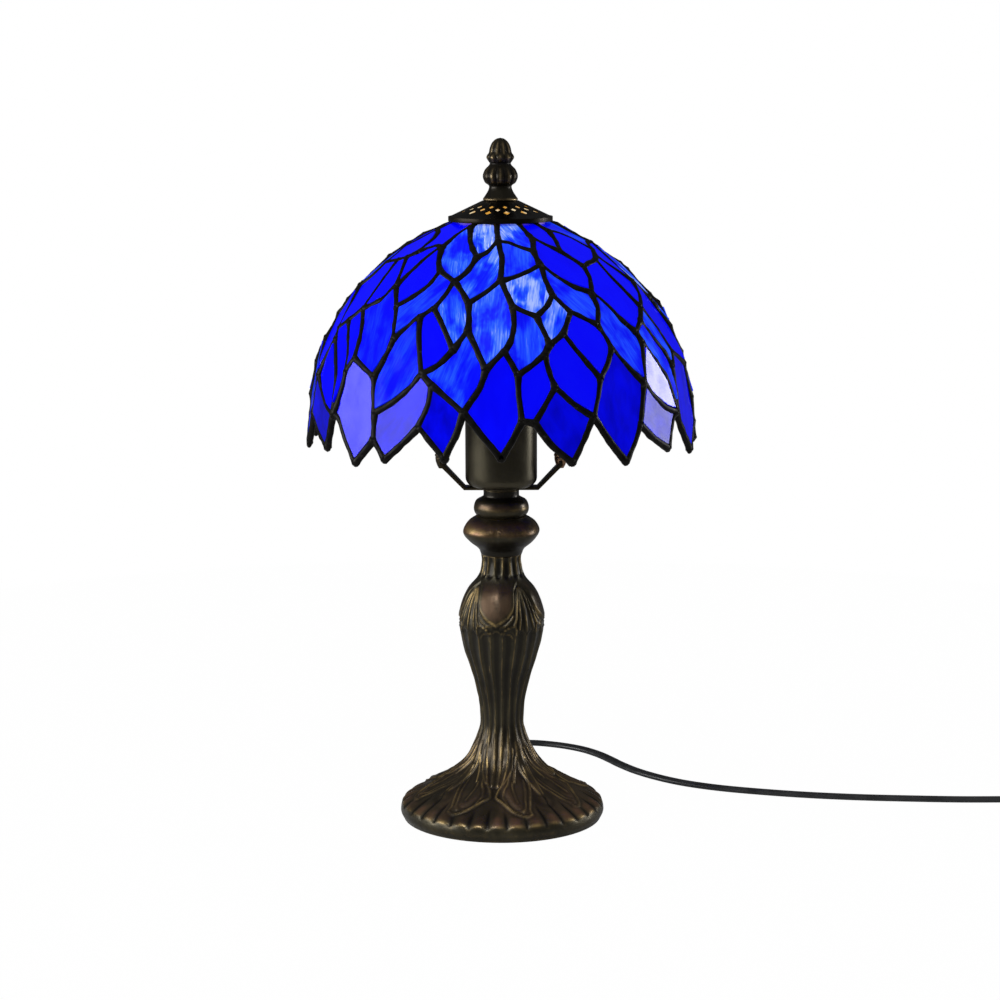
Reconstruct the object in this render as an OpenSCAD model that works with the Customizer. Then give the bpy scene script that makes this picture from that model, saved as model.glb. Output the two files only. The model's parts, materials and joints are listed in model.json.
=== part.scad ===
// Table lamp with a leaded glass leaf shade on a cast root-pattern base.
// Millimetres, +Z up. The origin is on the table, on the axis of the lamp.

/* [Shade] */
// Radius of the shade at its skirt
shade_r = 99.6; // [97:0.1:102]
// Height of the line where the dome turns straight down
skirt_z = 226.5; // [225:0.5:228]
// Height of the dome above that line, if it closed at the top
dome_h = 97; // [96.5:0.1:98]
// Roundness of the dome: 2 is an ellipse, less is more conical
dome_power = 1.8; // [1.75:0.05:1.85]
// Thickness of the glass
glass_t = 2.6; // [2:0.1:3]
// Width of a soldered seam
seam_w = 3; // [2.4:0.1:3.6]
// Thickness of a soldered seam
seam_t = 3.4; // [3.2:0.1:4]

/* [Cap and finial] */
// Radius of the vented cap at its rim
cap_r = 27.3; // [27:0.1:28.5]
// Number of pierced diamonds in each row of the cap
cap_vents = 13; // [8:1:14]
// Height of the top of the finial above the table
lamp_h = 363.6; // [362:0.1:366]

/* [Base] */
// Radius of the cast foot
foot_r = 54.8; // [53:0.1:60]
// Radius of the felt pad under the foot
felt_r = 50; // [40:0.5:50]
// Outer radius of the threaded tube that clamps the column
tube_r = 5; // [4.6:0.1:5]

/* [Lampholder and harp] */
// Radius of the lampholder's cup
cup_r = 19; // [18.6:0.1:21]
// Half the distance between the legs of the harp
harp_x = 31.5; // [30:0.5:33]
// Half the width of the harp at its widest
harp_wide = 38; // [36:0.5:40]
// Radius of the harp's rod
harp_rod_r = 1.7; // [1.5:0.1:1.7]
// Radius of the bulb
bulb_r = 23; // [20:0.5:25]

/* [Cord] */
// Width of the flat twin cord
cord_w = 5.6; // [5:0.1:6]
// Thickness of the flat twin cord
cord_t = 2.8; // [2.4:0.1:3]

/* [Hidden] */
$fn = 96;

bronze = "#463b26";
dark_bronze = "#2b2620";
blue_glass = "#0a18d8";
lead = "#26241f";
brass = "#b08d4a";
steel = "#8d8f92";
black = "#17171a";

// ---------- shared geometry ----------

// Catmull-Rom curve through the points, with so many steps between each two
function curve(pts, steps) = [
    for (i = [0:len(pts) - 2], k = [0:steps - 1])
        let (p0 = pts[max(i - 1, 0)], p1 = pts[i], p2 = pts[i + 1], p3 = pts[min(i + 2, len(pts) - 1)],
             t = k / steps)
        0.5 * (2 * p1 + (p2 - p0) * t + (2 * p0 - 5 * p1 + 4 * p2 - p3) * t * t
            + (3 * p1 - p0 - 3 * p2 + p3) * t * t * t),
    pts[len(pts) - 1]
];

function unit(v) = v / norm(v);
function total(v, i = 0) = i == len(v) - 1 ? v[i] : v[i] + total(v, i + 1);
function flipped(v) = [for (i = [len(v) - 1:-1:0]) v[i]];

// Solid of revolution between an outline [radius, height] and the axis bore
module turned(outline, bore) {
    rotate_extrude()
        polygon(concat([[bore, outline[0][1]]], outline, [[bore, outline[len(outline) - 1][1]]]));
}

module ring(r_out, r_in, z0, z1) {
    translate([0, 0, z0])
        rotate_extrude()
            translate([r_in, 0])
                square([r_out - r_in, z1 - z0]);
}

// Tube with an oval section swept along a route; the wide side stays level
module swept(route, wide, tall, sides, level = [0, 0, 1]) {
    n = len(route);
    points = [
        for (i = [0:n - 1])
            let (along = unit(route[min(i + 1, n - 1)] - route[max(i - 1, 0)]),
                 side = unit(cross(along, level)),
                 up = cross(side, along))
            for (k = [0:sides - 1])
                let (a = 360 * (k + 0.5) / sides)
                route[i] + side * wide / 2 * cos(a) + up * tall / 2 * sin(a)
    ];
    faces = concat(
        [[for (k = [0:sides - 1]) k]],
        [for (i = [0:n - 2], k = [0:sides - 1])
            let (a = i * sides + k, b = i * sides + (k + 1) % sides)
            [a, a + sides, b + sides, b]],
        [[for (k = [sides - 1:-1:0]) (n - 1) * sides + k]]);
    polyhedron(points, faces);
}

// ---------- the dome and its panes ----------

// Radius of the dome at a height
function dome_r(z) = z > skirt_z
    ? shade_r * pow(1 - pow(min((z - skirt_z) / dome_h, 1), dome_power), 1 / dome_power)
    : shade_r;

crown_z = skirt_z + 93;

// Distance walked down the dome from the crown, against height
dome_path = [for (z = crown_z, d = 0; z > skirt_z - 40; d = d + norm([1, dome_r(z - 1) - dome_r(z)]),
    z = z - 1) [d, z]];

function dome_point(deg, down) = let (z = lookup(down, dome_path))
    [dome_r(z) * sin(deg), -dome_r(z) * cos(deg), z];

// Outward direction of the dome at a point
function dome_normal(deg, down) =
    let (upper = dome_point(deg, max(down - 2, 0)), lower = dome_point(deg, down + 2),
         fall = unit(lower - upper), round_it = [cos(deg), sin(deg), 0])
    unit(cross(fall, round_it));

// Junctions and bends of the seams in one third of the shade:
// [degrees round from the front, distance down the dome from the crown]
third = 120;
seam_points = [
    // 0: crown edge
    [-31, 0], [-4, 0], [22, 0], [45, 0],
    // 4: crown leaves
    [-32, 6], [-37, 14], [-39, 26], [-22, 19], [-13, 33], [-7, 28], [-1.5, 20], [-3, 8],
    [6, 21], [13, 25], [19.5, 28.5], [24, 18], [30, 23], [37, 29], [42, 20], [47, 11],
    // 20: long seam round to the next third
    [55, 13], [62, 19], [66, 31], [71, 27], [76, 25], [61, 36], [56, 39], [50, 40], [44, 42], [41, 35],
    // 30: upper leaves, left
    [-34, 37], [-29, 44.5], [-24, 48], [-20, 51], [-16, 43], [-43.5, 35], [-46.5, 46], [-48, 56],
    [-51, 49], [-55, 42], [-45, 61], [-41.5, 68], [-36, 60.5], [-31.5, 53],
    // 44: middle leaves, left
    [-22, 59], [-25, 68], [-29, 73], [-11.3, 72], [-37, 86], [-39, 77],
    // 50: upper leaves, centre
    [-15.5, 57.5], [-12, 64], [-6, 57.5], [0, 50.5], [0.8, 35], [6, 47.5], [12.5, 44], [19.7, 40],
    // 58: upper and middle leaves, right
    [25, 47], [31, 54], [38, 59.5], [42, 51], [19.6, 50], [20.5, 60], [17, 66.5], [12.5, 72],
    [8, 69], [4.5, 66.5], [2.2, 58],
    // 69: centre leaf and its neighbours
    [4.6, 76], [3.4, 84], [1, 91], [-4.5, 100], [-7.5, 90], [-11, 80.5], [23, 76.5], [-15, 90],
    [-19.5, 78.5], [37.5, 69.5], [34.5, 78], [30, 74], [25.5, 70.5], [20.7, 82.5], [15.7, 87.5],
    [14.2, 80],
    // 85: right side, middle
    [57.5, 50], [59.5, 62], [61, 71.5], [55.5, 79], [50.5, 84], [47, 77], [43.5, 68.5],
    // 92: lower leaves, left
    [-52, 64.5], [-38.8, 96], [-41, 106], [-46, 102], [-51.5, 98], [-54, 84], [-54.5, 105],
    // 99: lower leaves, far right
    [60, 88.5], [63.8, 97], [-55.5, 117], [-57.5, 128], [60.5, 111], [56.5, 100.5], [51.5, 90],
    [57, 124.5], [51.5, 118], [47, 110.5], [48.8, 101],
    // 110: lower leaves, right
    [42, 102], [37, 91.5], [36.2, 84.5], [34, 99], [30.5, 106], [27.5, 98.5], [24, 90.5],
    [29, 115], [27, 124.5], [21, 117.5], [15.8, 109.5], [14.2, 101], [13.5, 93],
    // 123: lower leaves, centre
    [9.3, 98], [5, 102.5], [12.5, 118], [9.3, 126], [6, 125], [5.2, 113],
    // 129: lower leaves, left of centre
    [-19.3, 98], [-24, 103], [-26, 93], [-28, 82], [-28, 110.5], [-33, 117.5], [-39, 124],
    [-40.2, 115], [-6.3, 109], [-10.7, 121], [-15.5, 114.5], [-20.5, 108.5],
    // 141: tips, left
    [-38.8, 137], [-46, 150], [-51, 140], [-55, 130], [-21.3, 118], [-24, 129], [-30, 139],
    [-35, 146.5], [-12.7, 131], [-16.2, 144], [-20, 136.5],
    // 152: tips, right
    [3.2, 134], [0, 143.5], [-5, 133], [24, 135.5], [20.5, 146.5], [15, 138.5],
    [45.6, 120], [44, 130.5], [41.5, 139], [37.7, 148.5], [33, 138.5], [29.3, 129],
    [60.3, 132], [57.7, 145.5], [50.5, 139]
];

// Panes as rings of seam points; 200 more means the same point one third further round
next = 200;
crown_panes = [
    [0, 4, 7, 8, 9, 10, 11, 1],
    [1, 11, 10, 12, 13, 14, 15, 2],
    [2, 15, 16, 17, 18, 19, 3],
    [3, 19, 20, 21, 22, 23, 24, next + 6, next + 5, next + 4, next]
];
upper_panes = [
    [17, 29, 28, 27, 26, 25, 22, 21, 20, 19, 18],
    [25, 22, 23, 24, next + 6, next + 35, next + 36, next + 37, next + 38, next + 39],
    [4, 5, 6, 30, 31, 32, 33, 34, 8, 7],
    [8, 34, 33, 50, 51, 52, 53, 54, 10, 9],
    [10, 54, 53, 55, 56, 57, 14, 13, 12],
    [15, 14, 57, 58, 59, 60, 61, 28, 29, 17, 16],
    [6, 30, 31, 43, 42, 41, 40, 37, 36, 35]
];
middle_panes = [
    [31, 32, 33, 44, 45, 46, 48, 49, 41, 42, 43],
    [33, 50, 51, 47, 74, 76, 77, 45, 44],
    [53, 55, 56, 57, 62, 63, 64, 65, 66, 67, 68],
    [51, 52, 53, 68, 67, 69, 70, 71, 72, 73, 74, 47],
    [57, 58, 59, 60, 78, 79, 80, 81, 63, 62],
    [63, 81, 75, 82, 83, 84, 65, 64],
    [28, 27, 26, 85, 86, 87, 88, 89, 90, 91, 60, 61],
    [26, 25, next + 39, next + 38, next + 37, next + 92, 87, 86, 85]
];
lower_panes = [
    [next + 37, next + 40, next + 41, next + 49, next + 48, next + 93, next + 94, next + 95,
        next + 96, next + 97, 87, next + 92],
    [88, 87, next + 97, next + 96, next + 98, 100, 99],
    [45, 77, 76, 129, 130, 131, 132, 46],
    [67, 66, 65, 84, 83, 122, 123, 124, 71, 70, 69],
    [81, 80, 79, 112, 111, 113, 114, 115, 116, 82, 75],
    [60, 91, 90, 89, 105, 109, 108, 110, 111, 112, 79, 78],
    [48, 46, 132, 131, 130, 133, 134, 135, 136, 94, 93],
    [74, 73, 72, 137, 138, 139, 140, 130, 129, 76]
];
hem_panes = [
    [89, 88, 99, 100, next + 98, next + 101, next + 102, 103, 104, 105],
    [105, 104, 103, next + 102, 106, 107, 108, 109],
    [83, 82, 116, 115, 114, 117, 118, 119, 120, 121, 122],
    [124, 123, 122, 121, 120, 125, 126, 127, 128]
];
tip_panes = [
    [96, 95, 94, 136, 135, 141, 142, 143, 144, 102, 101, 98],
    [135, 134, 133, 130, 140, 145, 146, 147, 148, 141],
    [140, 139, 138, 149, 150, 151, 146, 145],
    [72, 71, 124, 128, 127, 152, 153, 154, 138, 137],
    [120, 119, 118, 155, 156, 157, 126, 125],
    [111, 110, 108, 158, 159, 160, 161, 162, 163, 118, 117, 114, 113],
    [108, 107, 106, next + 102, 164, 165, 166, 159, 158]
];

// A seam point of the given third, as [degrees, distance down]
function seam_point(i, part) = i >= next
    ? seam_points[i - next] + [third * (part + 1), 0]
    : seam_points[i] + [third * part, 0];

// Turns a flat ring of 2-D points inwards by d with mitred corners
function inset(ring, d) = let (n = len(ring)) [
    for (i = [0:n - 1])
        let (a = unit(ring[i] - ring[(i + n - 1) % n]), b = unit(ring[(i + 1) % n] - ring[i]),
             na = [-a[1], a[0]], nb = [-b[1], b[0]])
        ring[i] + (na + nb) * d / (1 + na * nb)
];

// Twice the signed area of a flat ring
function winding(ring) = let (n = len(ring))
    total([for (i = [0:n - 1]) ring[i][0] * ring[(i + 1) % n][1] - ring[(i + 1) % n][0] * ring[i][1]]);

// A pane: [ring on the dome, dome normals, flat ring inside the seam, middle, and the pane's three axes]
function pane(ids, part) =
    let (given = [for (i = ids) seam_point(i, part)],
         middle = total([for (s = given) dome_point(s[0], s[1])]) / len(given),
         out = unit(total([for (s = given) dome_normal(s[0], s[1])])),
         across = unit(cross([0, 0, 1], out)),
         rise = cross(out, across),
         flat_given = [for (s = given) let (v = dome_point(s[0], s[1]) - middle) [v * across, v * rise]],
         seams = winding(flat_given) > 0 ? given : flipped(given),
         flat = winding(flat_given) > 0 ? flat_given : flipped(flat_given))
    [[for (s = seams) dome_point(s[0], s[1])], [for (s = seams) dome_normal(s[0], s[1])],
        inset(flat, seam_w / 2), middle, [across, rise, out]];

// Flat glass leaf
module glass_pane(ids, part) {
    p = pane(ids, part);
    x = p[4][0];
    y = p[4][1];
    z = p[4][2];
    multmatrix([[x[0], y[0], z[0], p[3][0]], [x[1], y[1], z[1], p[3][1]], [x[2], y[2], z[2], p[3][2]]])
        linear_extrude(glass_t, center = true)
            polygon(p[2]);
}

// Seam of foil and solder round one leaf, from the leaf's edge to the line it shares with its neighbours
module seam_ring(ids, part) {
    p = pane(ids, part);
    n = len(p[2]);
    h = seam_t / 2;
    edge = [for (q = p[2]) p[3] + p[4][0] * q[0] + p[4][1] * q[1]];
    polyhedron(
        concat([for (i = [0:n - 1]) p[0][i] + p[1][i] * h], [for (q = edge) q + p[4][2] * h],
            [for (q = edge) q - p[4][2] * h], [for (i = [0:n - 1]) p[0][i] - p[1][i] * h]),
        [for (i = [0:n - 1], k = [0:3])
            let (j = (i + 1) % n, a = k * n, b = ((k + 1) % 4) * n)
            [a + i, b + i, b + j, a + j]]);
}

module pane_row(panes) {
    color(blue_glass)
        for (part = [0:2], ids = panes)
            glass_pane(ids, part);
}

module glass_crown_row() { pane_row(crown_panes); }
module glass_upper_row() { pane_row(upper_panes); }
module glass_middle_row() { pane_row(middle_panes); }
module glass_lower_row() { pane_row(lower_panes); }
module glass_hem_row() { pane_row(hem_panes); }
module glass_tip_row() { pane_row(tip_panes); }

module solder_seams() {
    color(lead)
        for (part = [0:2], ids = concat(crown_panes, upper_panes, middle_panes, lower_panes, hem_panes,
            tip_panes))
            seam_ring(ids, part);
}

// ---------- cap, crown and finial ----------

cap_top_z = crown_z + 11.7;
cap_rim_z = crown_z + 1.2;
cap_rim_h = 2;
cap_flat_r = 9.5;
cap_t = 0.9;
liner_r = 24.4;
liner_drop = 1.3;
liner_t = 0.8;
crown_ring_r = 21.5;
stud_r = 2.4;

// Cone of the cap between its flat top and its rim, as [radius, height] at its outer face
function cap_height(r) = cap_top_z
    - (r - cap_flat_r) / (cap_r - cap_flat_r) * (cap_top_z - cap_rim_z - cap_rim_h);

module cap_shell(lift, r_edge, thick, bore) {
    rotate_extrude()
        polygon([[bore, cap_top_z - lift], [cap_flat_r, cap_top_z - lift],
            [r_edge, cap_height(r_edge) - lift], [r_edge, cap_height(r_edge) - lift - thick],
            [cap_flat_r - 0.3, cap_top_z - lift - thick],
            [bore, cap_top_z - lift - thick]]);
}

module vented_cap() {
    rows = [[14.8, 9.2, 3.1], [17.3, -4.6, 3.4], [20.1, 9.2, 4.2]];
    color(dark_bronze) {
        difference() {
            cap_shell(0, cap_r - 0.8, cap_t, stud_r + 0.4);
            for (row = rows, k = [0:cap_vents - 1])
                rotate([0, 0, row[1] - 90 + k * 360 / cap_vents])
                    translate([row[0], 0, cap_rim_z - 4])
                        linear_extrude(20)
                            circle(d = row[2], $fn = 4);
        }
        ring(cap_r, cap_r - 0.8, cap_rim_z, cap_height(cap_r - 0.8));
    }
}

module crown_liner() {
    color(brass)
        cap_shell(liner_drop, liner_r, liner_t, stud_r + 0.4);
}

module crown_ring() {
    color(brass)
        ring(crown_ring_r, crown_ring_r - 1.6, crown_z - 1,
            cap_height(crown_ring_r) - liner_drop - liner_t - 0.05);
}

finial_z = cap_top_z + 0.4;

module finial() {
    s = (lamp_h - finial_z) / 32;
    outline = curve([[9.1, 0], [8.4, 1.6], [6.6, 4.4], [5.9, 6.4], [8, 8.6], [9.1, 11.8], [8, 15.4],
        [6, 18], [6.1, 19.8], [7.3, 22], [6, 24.4], [5, 27.6], [3, 30.8]], 3);
    color(dark_bronze)
        difference() {
            translate([0, 0, finial_z])
                rotate_extrude()
                    polygon(concat([[0, 0]], [for (p = outline) [p[0], p[1] * s]], [[0, 32 * s]]));
            translate([0, 0, finial_z - 1])
                cylinder(r = stud_r + 0.05, h = 11);
        }
}

// ---------- base ----------

casting_top_z = 144;
knop_top_z = 164.6;
collar_top_z = 179;
bore_r = 5.3;
cord_exit_z = 4.4;
cavity_z = 16;

// Roll of the rim, root flare, waist and baluster of the casting
casting_outline = [[foot_r - 1.6, 0.4], [foot_r, 4.6], [foot_r - 2.6, 9.8], [40, 16.4], [26, 24.4],
    [17.5, 33.2], [12.8, 46], [11.7, 57], [14.8, 75], [20.4, 93], [22.4, 107], [18.8, 121],
    [12.6, 131.5], [10.6, 140], [10.8, casting_top_z]];

module base_casting() {
    color(bronze)
        difference() {
            turned(curve(casting_outline, 4), bore_r);
            rotate_extrude()
                polygon([[0, 0], [foot_r - 4.3, 0], [foot_r - 4.3, 5.4], [46, 9], [30, 14.5], [20, cavity_z],
                    [0, cavity_z]]);
            translate([0, foot_r - 8, cord_exit_z])
                rotate([-90, 0, 0])
                    cylinder(r = 3.2, h = 12);
        }
}

module felt_pad() {
    color("#2e4a33")
        cylinder(r = felt_r, h = 1.6);
}

module base_plate() {
    color(steel)
        translate([0, 0, 1.6])
            cylinder(r = 50.2, h = 1.2);
}

module ballast_ring() {
    color("#55585c")
        difference() {
            ring(42, 14, 2.8, 9);
            translate([0, 30, 7])
                cube([9, 40, 10], center = true);
        }
}

module threaded_tube() {
    color(steel)
        ring(tube_r, 3.6, 8, 187.6);
}

module base_washer() {
    color(steel)
        ring(11, tube_r + 0.2, cavity_z - 1.8, cavity_z);
}

module base_nut() {
    color(steel)
        difference() {
            translate([0, 0, cavity_z - 6.6])
                cylinder(r = 9, h = 4.8, $fn = 6);
            cylinder(r = tube_r, h = 30);
        }
}

module knop() {
    outline = [[10.8, casting_top_z], [12.4, 147.4], [17, 151], [20.5, 154.6], [21, 157.6],
        [18.4, 161.6], [13.6, knop_top_z]];
    color(bronze)
        turned(curve(outline, 4), bore_r);
}

module collar_ring() {
    outline = [[12.8, knop_top_z], [14.3, 167], [14.6, 169.8], [13.4, 173], [10.4, 174.8],
        [9.5, 175.8], [9.5, collar_top_z]];
    color(dark_bronze)
        turned(curve(outline, 4), bore_r);
}

// ---------- lampholder and bulb ----------

saddle_t = 1.6;
saddle_top_z = collar_top_z + saddle_t;
cup_top_z = 237;
shell_z = 206;
seat_z = 200;
bulb_neck_z = 234;
bulb_z = 264;

module holder_locknut() {
    color(steel)
        difference() {
            translate([0, 0, saddle_top_z + 1])
                cylinder(r = 8.6, h = 3.4, $fn = 6);
            cylinder(r = tube_r, h = 300);
        }
}

module holder_cup() {
    z = saddle_top_z;
    color(dark_bronze)
        rotate_extrude()
            polygon(concat([[tube_r + 0.2, z]],
                [for (a = [0:15:90]) [cup_r - 5 + 5 * sin(a), z + 5 - 5 * cos(a)]],
                [[cup_r, cup_top_z], [cup_r - 1, cup_top_z]],
                [for (a = [90:-15:0]) [cup_r - 5 + 4 * sin(a), z + 5 - 4 * cos(a)]],
                [[tube_r + 0.2, z + 1]]));
}

module holder_insulator() {
    color("#e9e4d8")
        difference() {
            translate([0, 0, 189])
                cylinder(r = cup_r - 1.1, h = 43);
            translate([0, 0, seat_z])
                cylinder(r = 13.5, h = 40);
            for (side = [-1, 1])
                translate([side * 7, 0, 180])
                    cylinder(r = 1.6, h = 30);
        }
}

module holder_screw_shell() {
    color(brass)
        ring(13.5, 13.1, shell_z, 231);
}

module centre_contact() {
    color(brass) {
        ring(4, 1, seat_z, seat_z + 1);
        translate([0, 0, seat_z + 1])
            cylinder(r1 = 4, r2 = 2.4, h = 3.6);
    }
}

module terminal_screws() {
    color(brass)
        for (side = [-1, 1])
            translate([side * 11.5, 0, 186.4]) {
                cylinder(r = 2.6, h = 1.6);
                cylinder(r = 1.5, h = 2.6);
            }
}

module bulb_cap() {
    color("#c9cacc")
        turned([[4, seat_z + 4.8], [12.6, 211], [12.9, 213], [12.9, 230], [12.6, bulb_neck_z]], 0);
}

module bulb_glass() {
    wall = 1;
    color("#fff3dc")
        rotate_extrude()
            polygon(concat([[12.6, bulb_neck_z], [13.4, bulb_neck_z + 6]],
                [for (a = [-32:8:88]) [bulb_r * cos(a), bulb_z + bulb_r * sin(a)]],
                [[0, bulb_z + bulb_r], [0, bulb_z + bulb_r - wall]],
                [for (a = [88:-8:-32]) [(bulb_r - wall) * cos(a), bulb_z + (bulb_r - wall) * sin(a)]],
                [[12.4, bulb_neck_z + 6.2], [11.6, bulb_neck_z]]));
}

module bulb_filament() {
    color("#ffd27a") {
        translate([0, 0, bulb_neck_z])
            cylinder(r = 3.4, h = 12);
        for (k = [0:3])
            rotate([0, 0, k * 90 + 45])
                translate([5, 0, bulb_neck_z + 12])
                    cylinder(r = 0.9, h = 24);
        translate([0, 0, bulb_neck_z + 10])
            cylinder(r = 6.4, h = 2);
    }
}

// ---------- harp ----------

leg_joint_z = 202;
harp_top_z = crown_z + 2.5;
sleeve_z = 196.5;
sleeve_h = 12;

// Right half of the harp, from its leg to its top
harp_half = curve([[harp_x, 0, leg_joint_z], [harp_x, 0, 212], [harp_x, 0, 221], [harp_x, 0, 225],
    [harp_wide - 2.5, 0, 236], [harp_wide, 0, 256], [harp_wide - 3, 0, 280], [26, 0, 303], [13, 0, 317],
    [5, 0, harp_top_z - 0.6], [0, 0, harp_top_z]], 2);

module harp() {
    left = [for (p = harp_half) [-p[0], p[1], p[2]]];
    color(dark_bronze)
        swept(concat(left, [for (i = [len(harp_half) - 2:-1:0]) harp_half[i]]), 2 * harp_rod_r,
            2 * harp_rod_r, 8, [0, 1, 0]);
}

module harp_saddle() {
    strap_w = 9;
    inner_x = 19.8;
    color(dark_bronze)
        difference() {
            union() {
                translate([-inner_x, -strap_w / 2, collar_top_z])
                    cube([2 * inner_x, strap_w, saddle_t]);
                translate([0, 0, collar_top_z])
                    cylinder(r = 9.5, h = saddle_t);
                rotate([90, 0, 0])
                    linear_extrude(strap_w, center = true)
                        for (side = [-1, 1])
                            polygon([[side * (inner_x - 0.1), collar_top_z],
                                [side * (harp_x + 1), 192], [side * (harp_x + 1), 194],
                                [side * (harp_x - 1), 194], [side * (harp_x - 1), 193],
                                [side * (inner_x - 0.8), collar_top_z + saddle_t]]);
                for (side = [-1, 1])
                    translate([side * harp_x, 0, 193])
                        cylinder(r = harp_rod_r, h = leg_joint_z - 193);
            }
            cylinder(r = tube_r + 0.2, h = 200);
        }
}

module ferrule(side) {
    color(side > 0 ? "#7a5233" : dark_bronze)
        translate([side * harp_x, 0, 0]) {
            ring(3.1, harp_rod_r + 0.15, sleeve_z, sleeve_z + sleeve_h);
            ring(3.6, 3.1, sleeve_z, sleeve_z + 1.4);
        }
}

module ferrule_left() { ferrule(-1); }
module ferrule_right() { ferrule(1); }

module harp_stud() {
    seat = cap_top_z - 2.4;
    color(brass)
        difference() {
            union() {
                translate([0, 0, harp_top_z - 3.2])
                    cylinder(r = 5.5, h = 5);
                translate([0, 0, harp_top_z + 1.8])
                    cylinder(r = 8, h = seat - harp_top_z - 1.8);
                translate([0, 0, seat])
                    cylinder(r = stud_r, h = 11);
            }
            translate([0, 0, harp_top_z])
                rotate([0, 90, 0])
                    cylinder(r = harp_rod_r + 0.8, h = 20, center = true);
        }
}

// ---------- cord, switch and plug ----------

bushing_y = foot_r + 1.2;
relief_y = foot_r + 26;

module cord_bushing() {
    color(black)
        translate([0, foot_r - 4.6, cord_exit_z])
            rotate([-90, 0, 0])
                difference() {
                    union() {
                        cylinder(r = 3.15, h = 4.6);
                        translate([0, 0, 4.6])
                            cylinder(r = 4.1, h = 1.2);
                    }
                    translate([0, 0, -1])
                        cylinder(r = 2.6, h = 8);
                }
}

module strain_relief() {
    color(black)
        translate([0, bushing_y, cord_exit_z])
            rotate([-90, 0, 0])
                cylinder(r1 = 4, r2 = 3.1, h = relief_y - bushing_y);
}

// Inside the foot and up the threaded tube to the lampholder
module internal_lead() {
    route = [[0, bushing_y, cord_exit_z], [0, 40, cord_exit_z], [0, 12, cord_exit_z + 0.1],
        [0, 5, 4.8], [0, 1.6, 6.2], [0, 0.3, 9], [0, 0, 14], [0, 0, 60], [0, 0, 120], [0, 0, 188.6]];
    color("#8a7a5c")
        swept(route, 5, 2.2, 8, [0, 0.02, 1]);
}

switch_x = [282, 336];
switch_y = 21;
rest_z = cord_t / 2 + 0.2;

// Route on the table from the foot to the switch, the switch to the coil and the coil to the plug
route_lamp = [[0, relief_y, cord_exit_z], [-2, 92, 3.6], [-6, 104, 2], [-9, 116, rest_z],
    [-8, 128, rest_z], [-2, 138, rest_z], [8, 143.5, rest_z], [19, 144, rest_z], [30, 140.5, rest_z],
    [40, 135, rest_z], [49, 127.5, rest_z], [57, 117, rest_z], [63, 106, rest_z], [69, 94, rest_z],
    [77, 81, rest_z], [88, 68, rest_z], [102, 56, rest_z], [120, 46, rest_z], [142, 38, rest_z],
    [168, 31, rest_z], [196, 26, rest_z], [225, 23, rest_z], [254, 21, rest_z], [283.5, 21, rest_z]];
route_coil = [[334.5, 21, rest_z], [346, 20, rest_z], [356, 15, rest_z], [362, 6, rest_z],
    [364, -6, rest_z], [364, -18, rest_z]];
coil_at = [334, -34];
coil_mid_r = 30;
route_plug = [[334, -4, 10.2], [346, -4.5, 10], [358, -6, 8.6], [370, -9, 6], [382, -12.5, 4.2],
    [394, -16, 4.4], [404, -19, 5.6]];

module supply_cord() {
    color(black) {
        swept(curve(route_lamp, 2), cord_w, cord_t, 8);
        swept(curve(route_coil, 2), cord_w, cord_t, 8);
        swept(curve(route_plug, 2), cord_w, cord_t, 8);
    }
}

module cord_coil() {
    color(black)
        translate([coil_at[0], coil_at[1], 0.2])
            ring(coil_mid_r + 5.9, coil_mid_r - 5.9, 0, 11.6);
}

module cord_tie() {
    color("#303034")
        translate([coil_at[0], coil_at[1] - coil_mid_r, 6])
            difference() {
                cube([7, 15.4, 12], center = true);
                cube([9, 12.6, 11.7], center = true);
            }
}

switch_w = 24;
switch_h = 17;
switch_mid = (switch_x[0] + switch_x[1]) / 2;
switch_l = switch_x[1] - switch_x[0];
split_z = 7.5;
rocker_z = switch_h - 6.4;
rocker_tilt = 10;
axle_r = 1.2;
axle_l = 15;

module switch_outline(shrink) {
    hull()
        for (side = [-1, 1])
            translate([side * (switch_l / 2 - 10), 0])
                circle(r = 10 - shrink, $fn = 48);
    square([switch_l - 26, switch_w - 2 * shrink], center = true);
}

module switch_base() {
    color(black)
        translate([switch_mid, switch_y, 0.2])
            difference() {
                linear_extrude(split_z - 0.2)
                    switch_outline(0);
                translate([0, 0, 12])
                    cube([20.4, 12, 20], center = true);
            }
}

module switch_cover() {
    color(black)
        translate([switch_mid, switch_y, split_z])
            difference() {
                linear_extrude(switch_h - 4 - split_z)
                    switch_outline(0.3);
                cube([20, 10.6, 30], center = true);
                translate([0, 0, rocker_z - split_z])
                    rotate([90, 0, 0])
                        cylinder(r = axle_r, h = axle_l, center = true);
            }
}

// Rocker with raised ends, at rest with its lamp end pressed in
module switch_rocker() {
    color("#242428")
        translate([switch_mid, switch_y, rocker_z])
            rotate([0, -rocker_tilt, 0])
                rotate([90, 0, 0])
                    difference() {
                        linear_extrude(9.8, center = true)
                            polygon([[-8.4, 1], [-8.8, 4.6], [0, 2.8], [8.8, 4.6], [8.4, 1], [3, -3.6],
                                [-3, -3.6]]);
                        cylinder(r = axle_r + 0.05, h = 20, center = true);
                    }
}

module switch_axle() {
    color(steel)
        translate([switch_mid, switch_y, rocker_z])
            rotate([90, 0, 0])
                cylinder(r = axle_r, h = axle_l, center = true);
}

module switch_screws() {
    color(steel)
        for (side = [-1, 1])
            translate([switch_mid + side * 15, switch_y, switch_h - 4])
                cylinder(r = 2.2, h = 0.9);
}

plug_at = [404, -19, 7.9];
plug_turn = -16;

module plug_body() {
    color(black)
        translate(plug_at)
            rotate([0, 0, plug_turn]) {
                translate([13, 0, 0])
                    cube([26, 24, 15.6], center = true);
                translate([26, 0, 0])
                    rotate([0, 90, 0])
                        linear_extrude(7)
                            square([11, 18], center = true);
            }
}

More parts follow.
